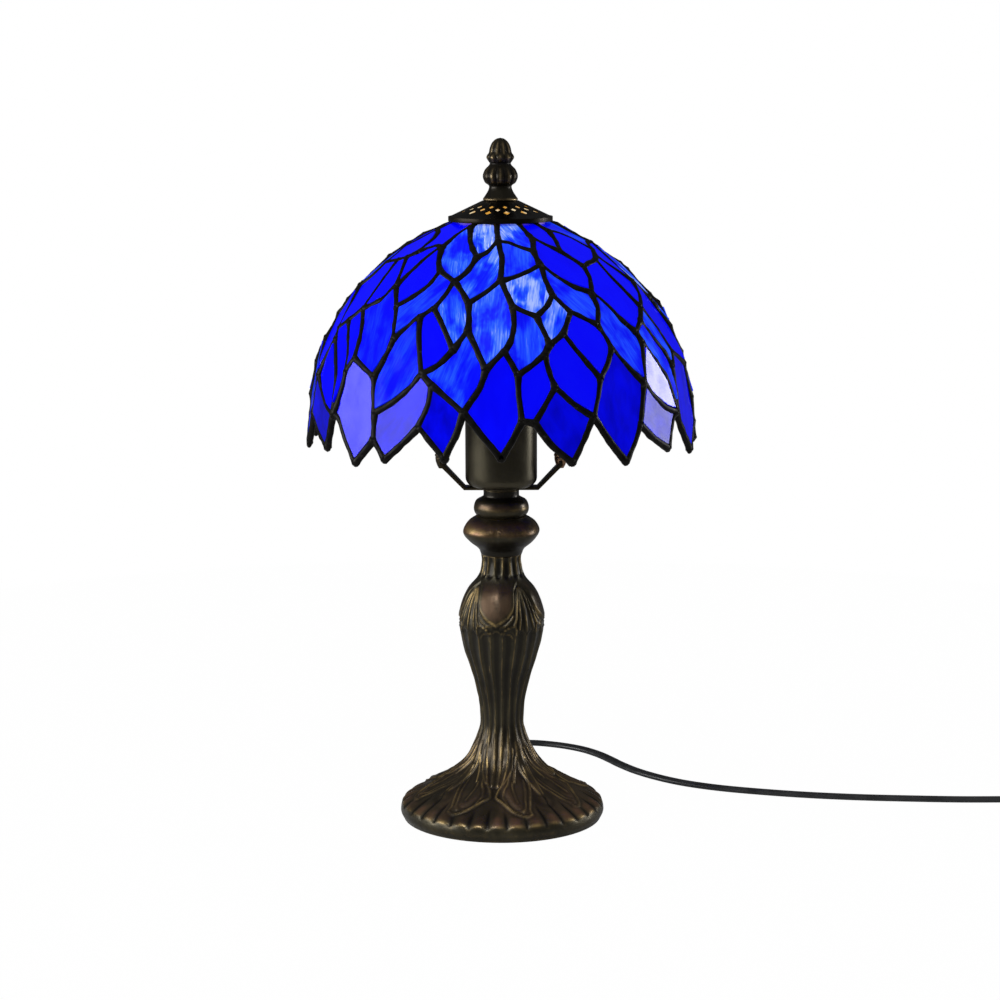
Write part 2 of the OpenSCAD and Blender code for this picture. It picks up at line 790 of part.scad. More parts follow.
module plug_pins() {
    color(brass)
        translate(plug_at)
            rotate([0, 0, plug_turn])
                for (side = [-1, 1])
                    translate([33 + 8.5, side * 6.35, 0])
                        cube([17, 1.5, 6.3], center = true);
}

base_casting();
felt_pad();
base_plate();
ballast_ring();
threaded_tube();
base_washer();
base_nut();
knop();
collar_ring();
cord_bushing();
strain_relief();
internal_lead();
harp_saddle();
holder_locknut();
holder_cup();
holder_insulator();
holder_screw_shell();
centre_contact();
terminal_screws();
bulb_cap();
bulb_glass();
bulb_filament();
harp();
ferrule_left();
ferrule_right();
harp_stud();
glass_crown_row();
glass_upper_row();
glass_middle_row();
glass_lower_row();
glass_hem_row();
glass_tip_row();
solder_seams();
crown_ring();
crown_liner();
vented_cap();
finial();
supply_cord();
cord_coil();
cord_tie();
switch_base();
switch_cover();
switch_rocker();
switch_axle();
switch_screws();
plug_body();
plug_pins();
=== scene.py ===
"""A leaded glass leaf-pattern table lamp on a cast root-pattern base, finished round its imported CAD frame."""
import math
import random

import bmesh
import bpy
import numpy as np
from mathutils import Matrix, Quaternion, Vector, noise
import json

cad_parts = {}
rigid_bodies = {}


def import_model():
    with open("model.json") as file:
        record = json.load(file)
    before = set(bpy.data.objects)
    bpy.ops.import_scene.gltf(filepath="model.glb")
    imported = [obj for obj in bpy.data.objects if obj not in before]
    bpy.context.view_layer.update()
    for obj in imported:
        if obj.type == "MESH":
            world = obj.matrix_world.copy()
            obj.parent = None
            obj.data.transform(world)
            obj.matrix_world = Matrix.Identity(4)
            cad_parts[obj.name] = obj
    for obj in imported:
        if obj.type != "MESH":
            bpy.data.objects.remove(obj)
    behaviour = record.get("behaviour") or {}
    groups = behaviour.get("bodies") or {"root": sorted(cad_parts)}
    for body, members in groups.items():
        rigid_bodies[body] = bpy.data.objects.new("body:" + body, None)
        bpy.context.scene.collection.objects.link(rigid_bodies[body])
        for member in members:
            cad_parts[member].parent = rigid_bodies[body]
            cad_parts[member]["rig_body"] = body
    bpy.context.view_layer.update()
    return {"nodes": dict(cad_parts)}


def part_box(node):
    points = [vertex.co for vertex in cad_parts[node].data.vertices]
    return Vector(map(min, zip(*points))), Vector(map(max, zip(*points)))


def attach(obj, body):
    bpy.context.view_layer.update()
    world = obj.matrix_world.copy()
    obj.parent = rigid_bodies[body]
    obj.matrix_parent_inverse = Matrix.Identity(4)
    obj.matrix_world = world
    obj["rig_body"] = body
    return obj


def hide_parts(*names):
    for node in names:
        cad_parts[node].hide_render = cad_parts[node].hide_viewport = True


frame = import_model()

MM = 0.001


# ---------- camera ----------

def make_camera():
    """Long lens, a little above the shade's hem and looking down at the middle of the lamp."""
    data = bpy.data.cameras.new("camera")
    data.lens = 93.5
    data.sensor_width = 36
    data.clip_end = 30
    camera = bpy.data.objects.new("camera", data)
    bpy.context.scene.collection.objects.link(camera)
    look_down = math.radians(9.6)
    lean = math.radians(-0.18)
    camera.location = (-0.0007, -1.36, 0.403)
    camera.rotation_mode = "QUATERNION"
    camera.rotation_quaternion = (Quaternion((1, 0, 0), math.pi / 2 - look_down)
                                  @ Quaternion((0, 0, 1), lean))
    bpy.context.scene.camera = camera


make_camera()


# ---------- shapes shared by the pieces ----------

def smooth_step(low, high, x):
    """From 0 at low to 1 at high with a soft start and end; low may be the larger of the two."""
    t = np.clip((x - low) / (high - low), 0, 1)
    return t * t * (3 - 2 * t)


def band(x, start, full, fading, end):
    """Rises softly from start to full, stays at 1, and falls again from fading to end."""
    return smooth_step(start, full, x) * smooth_step(end, fading, x)


def hump(x, middle, reach):
    """Soft hump, 1 at its middle and about a third at its reach."""
    return np.exp(-((x - middle) / reach) ** 2)


def box_mm(node):
    """A CAD node's lowest and highest corners at rest, in millimetres."""
    return [np.array(corner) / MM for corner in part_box(node)]


def catmull_rom(points, steps):
    """Smooth curve through the points, with so many steps between each two."""
    p = np.asarray(points, float)
    p = np.vstack([2 * p[0] - p[1], p, 2 * p[-1] - p[-2]])
    t = np.linspace(0, 1, steps, endpoint=False)[:, None]
    spans = [0.5 * (2 * b + (c - a) * t + (2 * a - 5 * b + 4 * c - d) * t ** 2
                    + (3 * b - a - 3 * c + d) * t ** 3)
             for a, b, c, d in zip(p[:-3], p[1:-2], p[2:-1], p[3:])]
    return np.vstack(spans + [p[-2]])


def walked(points):
    """Distance walked along a line of points, at each of them."""
    steps = np.linalg.norm(np.diff(points, axis=0), axis=1)
    return np.concatenate([[0], np.cumsum(steps)])


def respaced(points, distances):
    """The line of points again, with a point at each of the given distances along it."""
    at = walked(points)
    return np.stack([np.interp(distances, at, points[:, k]) for k in range(points.shape[1])], 1)


def grid_faces(rows, columns, close_rows=False):
    """Quads between rings of points, and back from the last ring to the first if they close."""
    ring = np.arange(rows if close_rows else rows - 1)
    a, b = np.meshgrid(ring, np.arange(columns), indexing="ij")
    down, right = (a + 1) % rows, (b + 1) % columns
    corners = [a * columns + b, a * columns + right, down * columns + right, down * columns + b]
    return np.stack(corners, -1).reshape(-1, 4)


def new_piece(name, points_mm, faces, material, body, slot, nodes=(), smooth=True):
    """A mesh piece, in millimetres here, that rides on a body and stands for some CAD nodes."""
    mesh = bpy.data.meshes.new(name)
    mesh.from_pydata((np.asarray(points_mm, float) * MM).tolist(), [],
                     [[int(v) for v in f] for f in faces])
    mesh.validate()
    piece = bpy.data.objects.new(name, mesh)
    bpy.context.scene.collection.objects.link(piece)
    return finished(piece, material, body, nodes, smooth)


def finished(piece, material, body, nodes=(), smooth=True):
    """Gives a piece its material, the body it rides on and the CAD nodes it stands for."""
    piece.data.materials.clear()
    piece.data.materials.append(material)
    if smooth:
        piece.data.shade_smooth()
    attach(piece, body)
    if nodes:
        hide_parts(*nodes)
    return piece


def outward(piece):
    """Turns every face of a closed mesh to point out of it."""
    work = bmesh.new()
    work.from_mesh(piece.data)
    bmesh.ops.recalc_face_normals(work, faces=work.faces)
    work.to_mesh(piece.data)
    work.free()
    return piece


def set_values(piece, name, values):
    """Stores one number a vertex, which the materials read."""
    attribute = piece.data.attributes.new(name, "FLOAT", "POINT")
    attribute.data.foreach_set("value", np.asarray(values, np.float32).ravel())


def set_vectors(piece, name, values):
    """Stores one vector a vertex, which the materials read."""
    attribute = piece.data.attributes.new(name, "FLOAT_VECTOR", "POINT")
    attribute.data.foreach_set("vector", np.asarray(values, np.float32).ravel())


def modified(piece, kind, **settings):
    """Adds a modifier and applies it."""
    modifier = piece.modifiers.new(kind.lower(), kind)
    for key, value in settings.items():
        setattr(modifier, key, value)
    graph = bpy.context.evaluated_depsgraph_get()
    mesh = bpy.data.meshes.new_from_object(piece.evaluated_get(graph))
    piece.modifiers.clear()
    piece.data = mesh
    return piece


def softened(node, name, material, width, segments=2):
    """A copy of a CAD node's shape with its sharp edges rounded over, in millimetres of width."""
    source = frame["nodes"][node]
    piece = bpy.data.objects.new(name, source.data.copy())
    bpy.context.scene.collection.objects.link(piece)
    work = bmesh.new()
    work.from_mesh(piece.data)
    bmesh.ops.remove_doubles(work, verts=work.verts, dist=1e-6)
    bmesh.ops.dissolve_limit(work, angle_limit=math.radians(1), verts=work.verts, edges=work.edges)
    work.to_mesh(piece.data)
    work.free()
    modified(piece, "BEVEL", width=width * MM, segments=segments, limit_method="ANGLE",
             angle_limit=math.radians(35), use_clamp_overlap=True)
    finished(piece, material, source["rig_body"], [node])
    piece.data.set_sharp_from_angle(angle=math.radians(40))
    return piece


def lathe(outline, sides, relief=None):
    """Points and quads of a closed outline [radius, height] turned round the axis.
    relief(degrees, radius, height) gives what is added to the radius."""
    outline = np.asarray(outline, float)
    degrees, height = np.meshgrid(np.arange(sides) * 360 / sides, outline[:, 1])
    radius = np.repeat(outline[:, :1], sides, 1)
    if relief is not None:
        radius = radius + relief(degrees, radius, height)
    a = np.radians(degrees)
    points = np.stack([radius * np.sin(a), -radius * np.cos(a), height], -1).reshape(-1, 3)
    return points, grid_faces(len(outline), sides, close_rows=True)


def turned(name, outline, sides, material, body, slot, nodes=(), shift=(0, 0, 0)):
    """A piece turned from a closed outline round the axis, or round one beside it."""
    points, faces = lathe(outline, sides)
    return outward(new_piece(name, points + shift, faces, material, body, slot, nodes))


def thin_wall(outer_r, inner_r, angle, height):
    """Points and quads of a wall round the axis: its outside going up, then its inside going down."""
    outer = np.stack([outer_r * np.sin(angle), -outer_r * np.cos(angle), height], -1)
    inner = np.stack([inner_r * np.sin(angle), -inner_r * np.cos(angle), height], -1)[::-1]
    points = np.vstack([outer.reshape(-1, 3), inner.reshape(-1, 3)])
    return points, grid_faces(2 * height.shape[0], height.shape[1], close_rows=True)


def frames_along(path, level):
    """Along, side and up directions at each point of a path."""
    path = np.asarray(path, float)
    along = np.gradient(path, axis=0)
    along /= np.linalg.norm(along, axis=1)[:, None]
    side = np.cross(along, level)
    side /= np.linalg.norm(side, axis=1)[:, None]
    return along, side, np.cross(side, along)


def stacked(rings):
    """Points and faces of rings laid one after another, closed at both ends."""
    rings = np.asarray(rings, float)
    count, n = rings.shape[:2]
    last = (count - 1) * n
    faces = grid_faces(count, n).tolist()
    faces += [list(range(n))[::-1], [last + k for k in range(n)]]
    return rings.reshape(-1, 3), faces


def swept(path, section, side, up, widths=1.0):
    """Tube of a flat section [across, up] carried along a path, closed at both ends."""
    path = np.asarray(path, float)
    scale = np.broadcast_to(widths, len(path))[:, None, None]
    return stacked(path[:, None, :] + side[:, None, :] * section[None, :, :1] * scale
                   + up[:, None, :] * section[None, :, 1:] * scale)


def rounded_ring(half_x, half_y, corner, inset=0.0, steps=7):
    """Points round a rectangle with round corners, about its own middle."""
    ring = []
    for to_x, to_y, start in ((1, 1, 0), (-1, 1, 90), (-1, -1, 180), (1, -1, 270)):
        for a in np.radians(start + np.linspace(0, 90, steps)):
            ring.append([to_x * (half_x - corner) + (corner - inset) * math.cos(a),
                         to_y * (half_y - corner) + (corner - inset) * math.sin(a)])
    return np.array(ring)


def rounded_box(low, high, corner, edge, steps=5):
    """Box with round corners seen from above and rounded upper and lower edges."""
    middle = [(low[0] + high[0]) / 2, (low[1] + high[1]) / 2]
    half_x, half_y = (high[0] - low[0]) / 2, (high[1] - low[1]) / 2
    bends = np.radians(np.linspace(0, 90, steps))
    profile = [(edge * (1 - math.sin(a)), low[2] + edge * (1 - math.cos(a))) for a in bends]
    profile += [(edge * (1 - math.cos(a)), high[2] - edge * (1 - math.sin(a))) for a in bends]
    layers = []
    for inset, z in profile:
        ring = rounded_ring(half_x, half_y, corner, inset, 9) + middle
        layers.append(np.column_stack([ring, np.full(len(ring), z)]))
    return stacked(layers)


def joined(parts):
    """Several sets of points and faces as one."""
    points, faces, start = [], [], 0
    for p, f in parts:
        points.append(np.asarray(p, float))
        faces += [[v + start for v in face] for face in f]
        start += len(p)
    return np.vstack(points), faces


# ---------- effects that several materials use ----------

def effect(name, inputs, outputs, build):
    """A shader node group. build(group, start, finish) wires it between its two ends."""
    group = bpy.data.node_groups.new(name, "ShaderNodeTree")
    for label, kind, value in inputs:
        socket = group.interface.new_socket(label, in_out="INPUT", socket_type="NodeSocket" + kind)
        socket.default_value = value
    for label, kind in outputs:
        group.interface.new_socket(label, in_out="OUTPUT", socket_type="NodeSocket" + kind)
    build(Wiring(group), group.nodes.new("NodeGroupInput").outputs,
          group.nodes.new("NodeGroupOutput").inputs)
    return group


class Wiring:
    """Short ways of adding nodes to a tree."""

    def __init__(self, tree):
        self.tree = tree

    def join(self, value, socket):
        """Links an output to a socket, or sets the socket to a number or colour."""
        if isinstance(value, bpy.types.NodeSocket):
            self.tree.links.new(value, socket)
        else:
            socket.default_value = value

    def node(self, kind, settings=None, **inputs):
        made = self.tree.nodes.new("ShaderNode" + kind)
        for key, value in (settings or {}).items():
            setattr(made, key, value)
        for label, value in inputs.items():
            self.join(value, made.inputs[label.replace("_", " ")])
        return made

    def noise(self, where, scale, detail=4.0, rough=0.55, warp=0.0):
        made = self.node("TexNoise", Vector=where, Scale=scale, Detail=detail, Roughness=rough,
                         Distortion=warp)
        return made.outputs["Fac"]

    def ramp(self, value, low, high, to_low=0.0, to_high=1.0):
        made = self.node("MapRange", {"interpolation_type": "SMOOTHSTEP"}, Value=value)
        for label, number in (("From Min", low), ("From Max", high), ("To Min", to_low),
                              ("To Max", to_high)):
            self.join(number, made.inputs[label])
        return made.outputs["Result"]

    def math(self, operation, a, b=0.0):
        made = self.node("Math", {"operation": operation})
        self.join(a, made.inputs[0])
        self.join(b, made.inputs[1])
        return made.outputs[0]

    def mix(self, share, a, b):
        made = self.node("Mix", {"data_type": "RGBA"})
        self.join(share, made.inputs[0])
        self.join(a, made.inputs[6])
        self.join(b, made.inputs[7])
        return made.outputs[2]

    def place(self, scale=1.0):
        """Position in the object, in metres times the scale."""
        where = self.node("TexCoord").outputs["Object"]
        made = self.node("Mapping", Vector=where)
        made.inputs["Scale"].default_value = scale if isinstance(scale, tuple) else (scale,) * 3
        return made.outputs["Vector"]

    def stored(self, name, output="Fac"):
        """What a piece stores for each vertex under a name."""
        made = self.node("Attribute", {"attribute_name": name})
        return made.outputs[output]

    def group(self, tree, **inputs):
        made = self.tree.nodes.new("ShaderNodeGroup")
        made.node_tree = tree
        for label, value in inputs.items():
            self.join(value, made.inputs[label.replace("_", " ")])
        return made.outputs

    def bump(self, height, strength, depth_mm):
        made = self.node("Bump", Height=height, Strength=strength, Distance=depth_mm * MM)
        return made.outputs["Normal"]


def build_patina(w, start, finish):
    """Blotches of colour and roughness, as on a chemically darkened metal."""
    where = w.place()
    broad = w.noise(where, start["Blotch size"], 5.0, 0.6, 0.6)
    fine = w.noise(where, 900.0, 3.0, 0.6)
    w.join(w.ramp(broad, 0.38, 0.66), finish["Blotch"])
    grain = w.math("ADD", w.math("MULTIPLY", broad, 0.6), w.math("MULTIPLY", fine, 0.4))
    w.join(grain, finish["Grain"])


patina = effect("patina", [("Blotch size", "Float", 60.0)], [("Blotch", "Float"), ("Grain", "Float")],
                build_patina)


def build_wear(w, start, finish):
    """Worn edges: sharp outer edges, broken up by noise."""
    edge = w.node("NewGeometry").outputs["Pointiness"]
    broken = w.noise(w.place(), 260.0, 4.0, 0.6)
    lifted = w.math("ADD", edge, w.math("MULTIPLY", w.math("SUBTRACT", broken, 0.5), 0.06))
    w.join(w.math("MULTIPLY", w.ramp(lifted, 0.505, 0.56), start["Amount"]), finish["Worn"])
    w.join(w.math("MULTIPLY", w.ramp(lifted, 0.495, 0.45), start["Amount"]), finish["Dirty"])


wear = effect("wear", [("Amount", "Float", 1.0)], [("Worn", "Float"), ("Dirty", "Float")], build_wear)


def build_fine_grain(w, start, finish):
    """Fine even texture of moulded or rolled surfaces, as a height."""
    a = w.noise(w.place(), start["Scale"], 2.0, 0.5)
    b = w.noise(w.place(), w.math("MULTIPLY", start["Scale"], 0.13), 3.0, 0.5)
    w.join(w.math("ADD", w.math("MULTIPLY", a, 0.5), w.math("MULTIPLY", b, 0.5)), finish["Height"])
    w.join(w.ramp(b, 0.35, 0.65), finish["Patch"])


fine_grain = effect("fine_grain", [("Scale", "Float", 1500.0)], [("Height", "Float"), ("Patch", "Float")],
                    build_fine_grain)


# ---------- materials ----------

def material(name, build, **constants):
    """A material with one Principled BSDF. build(wiring, shader inputs) joins what varies over it."""
    made = bpy.data.materials.new(name)
    made.use_nodes = True
    shader = made.node_tree.nodes["Principled BSDF"]
    for label, value in constants.items():
        shader.inputs[label.replace("_", " ")].default_value = value
    build(Wiring(made.node_tree), shader.inputs)
    return made


def metal(name, dark, light, worn, rough, spread=60.0, wear_amount=0.8, metallic=0.9, depth=0.05):
    """Metal finish that wanders between two colours, and is rubbed to a third one on its edges."""
    def build(w, shader):
        skin = w.group(patina, Blotch_size=spread)
        rubbed = w.group(wear, Amount=wear_amount)
        body = w.mix(skin["Blotch"], (*dark, 1), (*light, 1))
        w.join(w.mix(rubbed["Worn"], body, (*worn, 1)), shader["Base Color"])
        w.join(w.ramp(skin["Grain"], 0.3, 0.7, rough - 0.07, rough + 0.1), shader["Roughness"])
        w.join(w.bump(skin["Grain"], 0.5, depth), shader["Normal"])
    return material(name, build, Metallic=metallic)


def cast_finish(name, dark, light, gilt):
    """Antiqued casting: dark patina in the channels and painted shade under overhangs, olive gold on what
    stands up, and copper brown that is bare metal in patches and painted light on the knop's upper half.
    """
    def build(w, shader):
        skin = w.group(patina, Blotch_size=38.0)
        rubbed = w.group(wear, Amount=0.3)
        raised = w.math("MAXIMUM", w.stored("raised"), rubbed["Worn"])
        broken = w.ramp(w.noise(w.place(), 110.0, 5.0, 0.65), 0.4, 0.62, 0.12, 1.0)
        gold = w.math("MULTIPLY", raised, broken)
        body = w.mix(skin["Blotch"], (*dark, 1), (*light, 1))
        copper = w.math("MULTIPLY", w.stored("copper"), w.ramp(skin["Blotch"], 0.1, 0.8, 0.3, 1.0))
        body = w.mix(copper, body, (0.17, 0.09, 0.052, 1))
        # dark patina in the channels, and painted shade under the petals' lips and on the knop's underside
        body = w.mix(w.stored("patina_and_shade"), body, (0.012, 0.01, 0.008, 1))
        w.join(w.mix(gold, body, (*gilt, 1)), shader["Base Color"])
        w.join(w.ramp(skin["Grain"], 0.3, 0.7, 0.26, 0.42), shader["Roughness"])
        w.join(w.bump(skin["Grain"], 0.55, 0.09), shader["Normal"])
    return material(name, build, Metallic=0.7)


def leaf_glass():
    """Opalescent art glass: blue body, drawn-out white wisps, slow changes of depth, a rolled surface, and a
    painted glow of its own colour on its outer faces that stands for light shining through it.
    """
    def build(w, shader):
        leaf = w.node("SeparateXYZ", Vector=w.stored("leaf", "Vector")).outputs

        def stretched(along, across):
            """Place in the leaf, so many noise cells to a millimetre along its grain and across it."""
            return w.node("CombineXYZ", X=w.math("MULTIPLY", leaf["X"], along),
                          Y=w.math("MULTIPLY", leaf["Y"], across), Z=leaf["Z"]).outputs["Vector"]

        streak = w.noise(stretched(0.07, 0.95), 1.0, 4.0, 0.6, 0.25)
        brushed = w.ramp(w.noise(stretched(0.11, 2.2), 1.0, 2.0, 0.5, 0.3), 0.62, 0.72)
        cloud = w.noise(stretched(0.06, 0.13), 1.0, 3.0, 0.5, 0.3)
        # how bright the blue is: the leaf's stored tone, with its painted shade towards the hem, varied by slow
        # clouds
        depth = w.math("ADD", w.stored("tone"), w.math("MULTIPLY", w.math("SUBTRACT", cloud, 0.5), 0.5))
        body = w.mix(w.ramp(depth, 0.2, 0.9), (0.0, 0.0, 0.06, 1), (0.0, 0.0, 0.8, 1))
        milk = w.ramp(cloud, 0.34, 0.62, 0.2, 1.0)
        fine_white = w.ramp(streak, 0.3, 0.7, 0.5, 1.0)
        white = w.math("MULTIPLY", w.stored("wisp"), w.math("MULTIPLY", milk, fine_white))
        body = w.mix(w.ramp(white, 0.0, 0.55), body, (0.02, 0.12, 1.0, 1))
        body = w.mix(w.ramp(white, 0.3, 0.95), body, (0.32, 0.42, 1.0, 1))
        brushed = w.math("MULTIPLY", brushed, w.ramp(white, 0.25, 0.7))
        body = w.mix(brushed, body, (0.8, 0.85, 1.0, 1))
        w.join(body, shader["Base Color"])
        # painted glow: the outer faces give off the glass's own colour, standing for light through the glass
        w.join(w.mix(w.stored("outer"), (0, 0, 0, 1), body), shader["Emission Color"])
        ripple = w.noise(w.place((1, 1, 0.55)), 130.0, 2.0, 0.5, 0.3)
        fine = w.noise(w.place(), 520.0, 2.0, 0.5)
        height = w.math("ADD", ripple, w.math("MULTIPLY", fine, 0.12))
        w.join(w.bump(height, 0.35, 0.35), shader["Normal"])
        w.join(w.ramp(ripple, 0.3, 0.7, 0.1, 0.2), shader["Roughness"])
    return material("leaf_glass", build, IOR=1.5, Specular_IOR_Level=0.2, Emission_Strength=0.6)


def patinated_solder():
    """Tinned copper foil and solder under a black patina, silvery where it is rubbed, with painted glints in
    random spots.
    """
    def build(w, shader):
        skin = w.group(patina, Blotch_size=120.0)
        rubbed = w.group(wear, Amount=0.12)
        body = w.mix(skin["Blotch"], (0.002, 0.002, 0.002, 1), (0.006, 0.0055, 0.005, 1))
        # painted glints: silvery spots at random over the solder
        painted_glint = w.math("MULTIPLY", w.ramp(w.noise(w.place(), 300.0, 3.0, 0.6), 0.62, 0.74), 0.5)
        body = w.mix(w.math("MAXIMUM", painted_glint, rubbed["Worn"]), body, (0.09, 0.085, 0.075, 1))
        w.join(body, shader["Base Color"])
        w.join(w.ramp(skin["Grain"], 0.3, 0.7, 0.28, 0.5), shader["Roughness"])
        w.join(w.bump(skin["Grain"], 0.6, 0.12), shader["Normal"])
    return material("patinated_solder", build, Metallic=0.5, Specular_IOR_Level=0.1)


def glowing_brass():
    """Thin brass liner behind the vents, with a painted warm glow that stands for light seen through them."""
    def build(w, shader):
        skin = w.group(patina, Blotch_size=90.0)
        patch = w.noise(w.place(), 150.0, 2.0, 0.5)
        body = w.mix(skin["Blotch"], (0.8, 0.42, 0.07, 1), (0.95, 0.66, 0.25, 1))
        w.join(body, shader["Base Color"])
        # painted glow, in patches from deep gold to pale gold
        glow = w.mix(w.ramp(patch, 0.44, 0.58), (0.75, 0.36, 0.05, 1), (1.0, 0.85, 0.55, 1))
        w.join(glow, shader["Emission Color"])
        w.join(w.ramp(skin["Grain"], 0.3, 0.7, 0.25, 0.4), shader["Roughness"])
        w.join(w.bump(skin["Grain"], 0.5, 0.05), shader["Normal"])
    return material("glowing_brass", build, Metallic=0.8, Emission_Strength=0.7)


def moulded(name, colour, pale, rough, grain=1500.0, depth=0.02):
    """Moulded plastic, rubber or porcelain with a fine even surface."""
    def build(w, shader):
        skin = w.group(fine_grain, Scale=grain)
        w.join(w.mix(skin["Patch"], (*colour, 1), (*pale, 1)), shader["Base Color"])
        w.join(w.ramp(skin["Patch"], 0.0, 1.0, rough - 0.05, rough + 0.06), shader["Roughness"])
        w.join(w.bump(skin["Height"], 0.5, depth), shader["Normal"])
    return material(name, build)


def pressed_felt():
    """Green felt with matted fibres."""
    def build(w, shader):
        fibre = w.noise(w.place(), 1400.0, 5.0, 0.75, 1.6)
        patch = w.noise(w.place(), 60.0, 3.0, 0.5)
        w.join(w.mix(w.ramp(fibre, 0.35, 0.65), (0.012, 0.03, 0.017, 1), (0.04, 0.085, 0.05, 1)),
               shader["Base Color"])
        w.join(w.ramp(patch, 0.3, 0.7, 0.86, 0.98), shader["Roughness"])
        w.join(w.bump(fibre, 0.9, 0.3), shader["Normal"])
    return material("pressed_felt", build, Sheen_Weight=0.4, Sheen_Roughness=0.5)


def clear_glass():
    """Blown bulb glass with a slight swirl."""
    def build(w, shader):
        swirl = w.noise(w.place(), 70.0, 2.0, 0.5)
        w.join(w.bump(swirl, 0.1, 0.1), shader["Normal"])
        w.join(w.ramp(swirl, 0.3, 0.7, 0.01, 0.03), shader["Roughness"])
    return material("clear_glass", build, Transmission_Weight=1.0, IOR=1.45,
                    Base_Color=(0.98, 0.97, 0.93, 1))


cast_bronze = cast_finish("cast_bronze", (0.03, 0.026, 0.016), (0.055, 0.047, 0.027), (0.42, 0.29, 0.11))
dark_casting = cast_finish("dark_casting", (0.012, 0.01, 0.007), (0.026, 0.022, 0.013), (0.4, 0.3, 0.15))
satin_bronze = metal("satin_bronze", (0.03, 0.026, 0.017), (0.042, 0.037, 0.023), (0.12, 0.09, 0.05),
                     0.3, 45.0, 0.5)
copper_bronze = metal("copper_bronze", (0.2, 0.1, 0.055), (0.3, 0.17, 0.1), (0.5, 0.33, 0.2), 0.3)
lacquered_brass = metal("lacquered_brass", (0.72, 0.5, 0.18), (0.85, 0.62, 0.27), (0.95, 0.78, 0.45),
                        0.2, 80.0, 0.6, 1.0)
zinc_plate = metal("zinc_plate", (0.42, 0.42, 0.43), (0.55, 0.55, 0.54), (0.75, 0.75, 0.75), 0.33, 90.0,
                   0.5, 1.0)
cap_bronze = metal("cap_bronze", (0.004, 0.0035, 0.003), (0.01, 0.008, 0.006), (0.04, 0.03, 0.02), 0.34,
                   60.0, 0.4, 0.9)
cup_bronze = metal("cup_bronze", (0.058, 0.051, 0.033), (0.078, 0.069, 0.045), (0.16, 0.13, 0.08), 0.32,
                   30.0, 0.4, 0.85)
rough_iron = metal("rough_iron", (0.07, 0.07, 0.072), (0.14, 0.125, 0.11), (0.3, 0.28, 0.26), 0.55, 70.0,
                   0.7, 0.9, 0.3)
bright_nickel = metal("bright_nickel", (0.6, 0.58, 0.55), (0.72, 0.7, 0.67), (0.85, 0.84, 0.8), 0.22,
                      90.0, 0.5, 1.0)
cord_vinyl = moulded("cord_vinyl", (0.02, 0.021, 0.023), (0.035, 0.036, 0.038), 0.36, 700.0, 0.03)
black_plastic = moulded("black_plastic", (0.014, 0.014, 0.016), (0.022, 0.022, 0.024), 0.4)
old_ivory = moulded("old_ivory", (0.72, 0.68, 0.58), (0.8, 0.77, 0.69), 0.25, 300.0)
phosphor = moulded("phosphor", (0.9, 0.62, 0.2), (1.0, 0.75, 0.32), 0.5, 900.0)
brown_cloth = moulded("brown_cloth", (0.16, 0.12, 0.07), (0.3, 0.24, 0.15), 0.8, 1800.0, 0.15)
rocker_plastic = moulded("rocker_plastic", (0.02, 0.02, 0.022), (0.032, 0.032, 0.034), 0.25)
tie_plastic = moulded("tie_plastic", (0.02, 0.02, 0.021), (0.04, 0.04, 0.042), 0.5, 1200.0, 0.05)
vent_brass = glowing_brass()
blue_leaf_glass = leaf_glass()
solder = patinated_solder()
felt = pressed_felt()
bulb_clear = clear_glass()


# ---------- cord ----------

CORD_THICK = 2.8
# Height of the cord's middle where it lies flat on the table
REST_Z = 1.6
EXIT_Z = 4.4
EXIT_ROUTE = [[0, 56, EXIT_Z], [0, 68, EXIT_Z]]

# The route on the table, in millimetres: foot to switch, switch to coil, and coil to plug
LAMP_ROUTE = [[0, 80.8, EXIT_Z], [-2, 92, 3.6], [-6, 104, 2], [-9, 116, REST_Z], [-8, 128, REST_Z],
              [-2, 138, REST_Z], [8, 143.5, REST_Z], [19, 144, REST_Z], [30, 140.5, REST_Z],
              [40, 135, REST_Z], [49, 127.5, REST_Z], [57, 117, REST_Z], [63, 106, REST_Z],
              [69, 94, REST_Z], [77, 81, REST_Z], [88, 68, REST_Z], [102, 56, REST_Z],
              [120, 46, REST_Z], [142, 38, REST_Z], [168, 31, REST_Z], [196, 26, REST_Z],
              [225, 23, REST_Z], [254, 21, REST_Z], [283.5, 21, REST_Z]]
COIL_ROUTE = [[334.5, 21, REST_Z], [346, 20, REST_Z], [356, 15, REST_Z], [362.5, 6, REST_Z],
              [366, -6, 1.9], [368, -20, 2.6]]
PLUG_ROUTE = [[346, -4.5, 10], [358, -6, 8.6], [370, -9, 6], [382, -12.5, 4.2], [394, -16, 4.4],
              [404, -19, 7.9], [411, -21, 7.9]]
# The coil's middle on the table, its middle radius, its turns and the heights of its two layers
COIL_AT = (334, -34)
COIL_MID_R = 30
TURNS = 6.75
TURNS_BELOW = 3.25
TURN_GAP = 2.87
LAYERS = (3.05, 8.75)


def coil_turns():
    """Turns lie side by side, in to the middle on the lower layer and out again on the upper one."""
    points = []
    steps = 40
    for k in range(int(TURNS * steps) + 1):
        turn = k / steps
        inward = turn if turn < TURNS_BELOW else 2 * TURNS_BELOW - turn
        radius = COIL_MID_R + 1.5 * TURN_GAP - TURN_GAP * min(inward, 3)
        rise = smooth_step(TURNS_BELOW - 0.35, TURNS_BELOW + 0.35, turn)
        a = -math.tau * turn
        points.append([COIL_AT[0] + radius * math.cos(a), COIL_AT[1] + radius * math.sin(a),
                       LAYERS[0] + (LAYERS[1] - LAYERS[0]) * float(rise)])
    return points


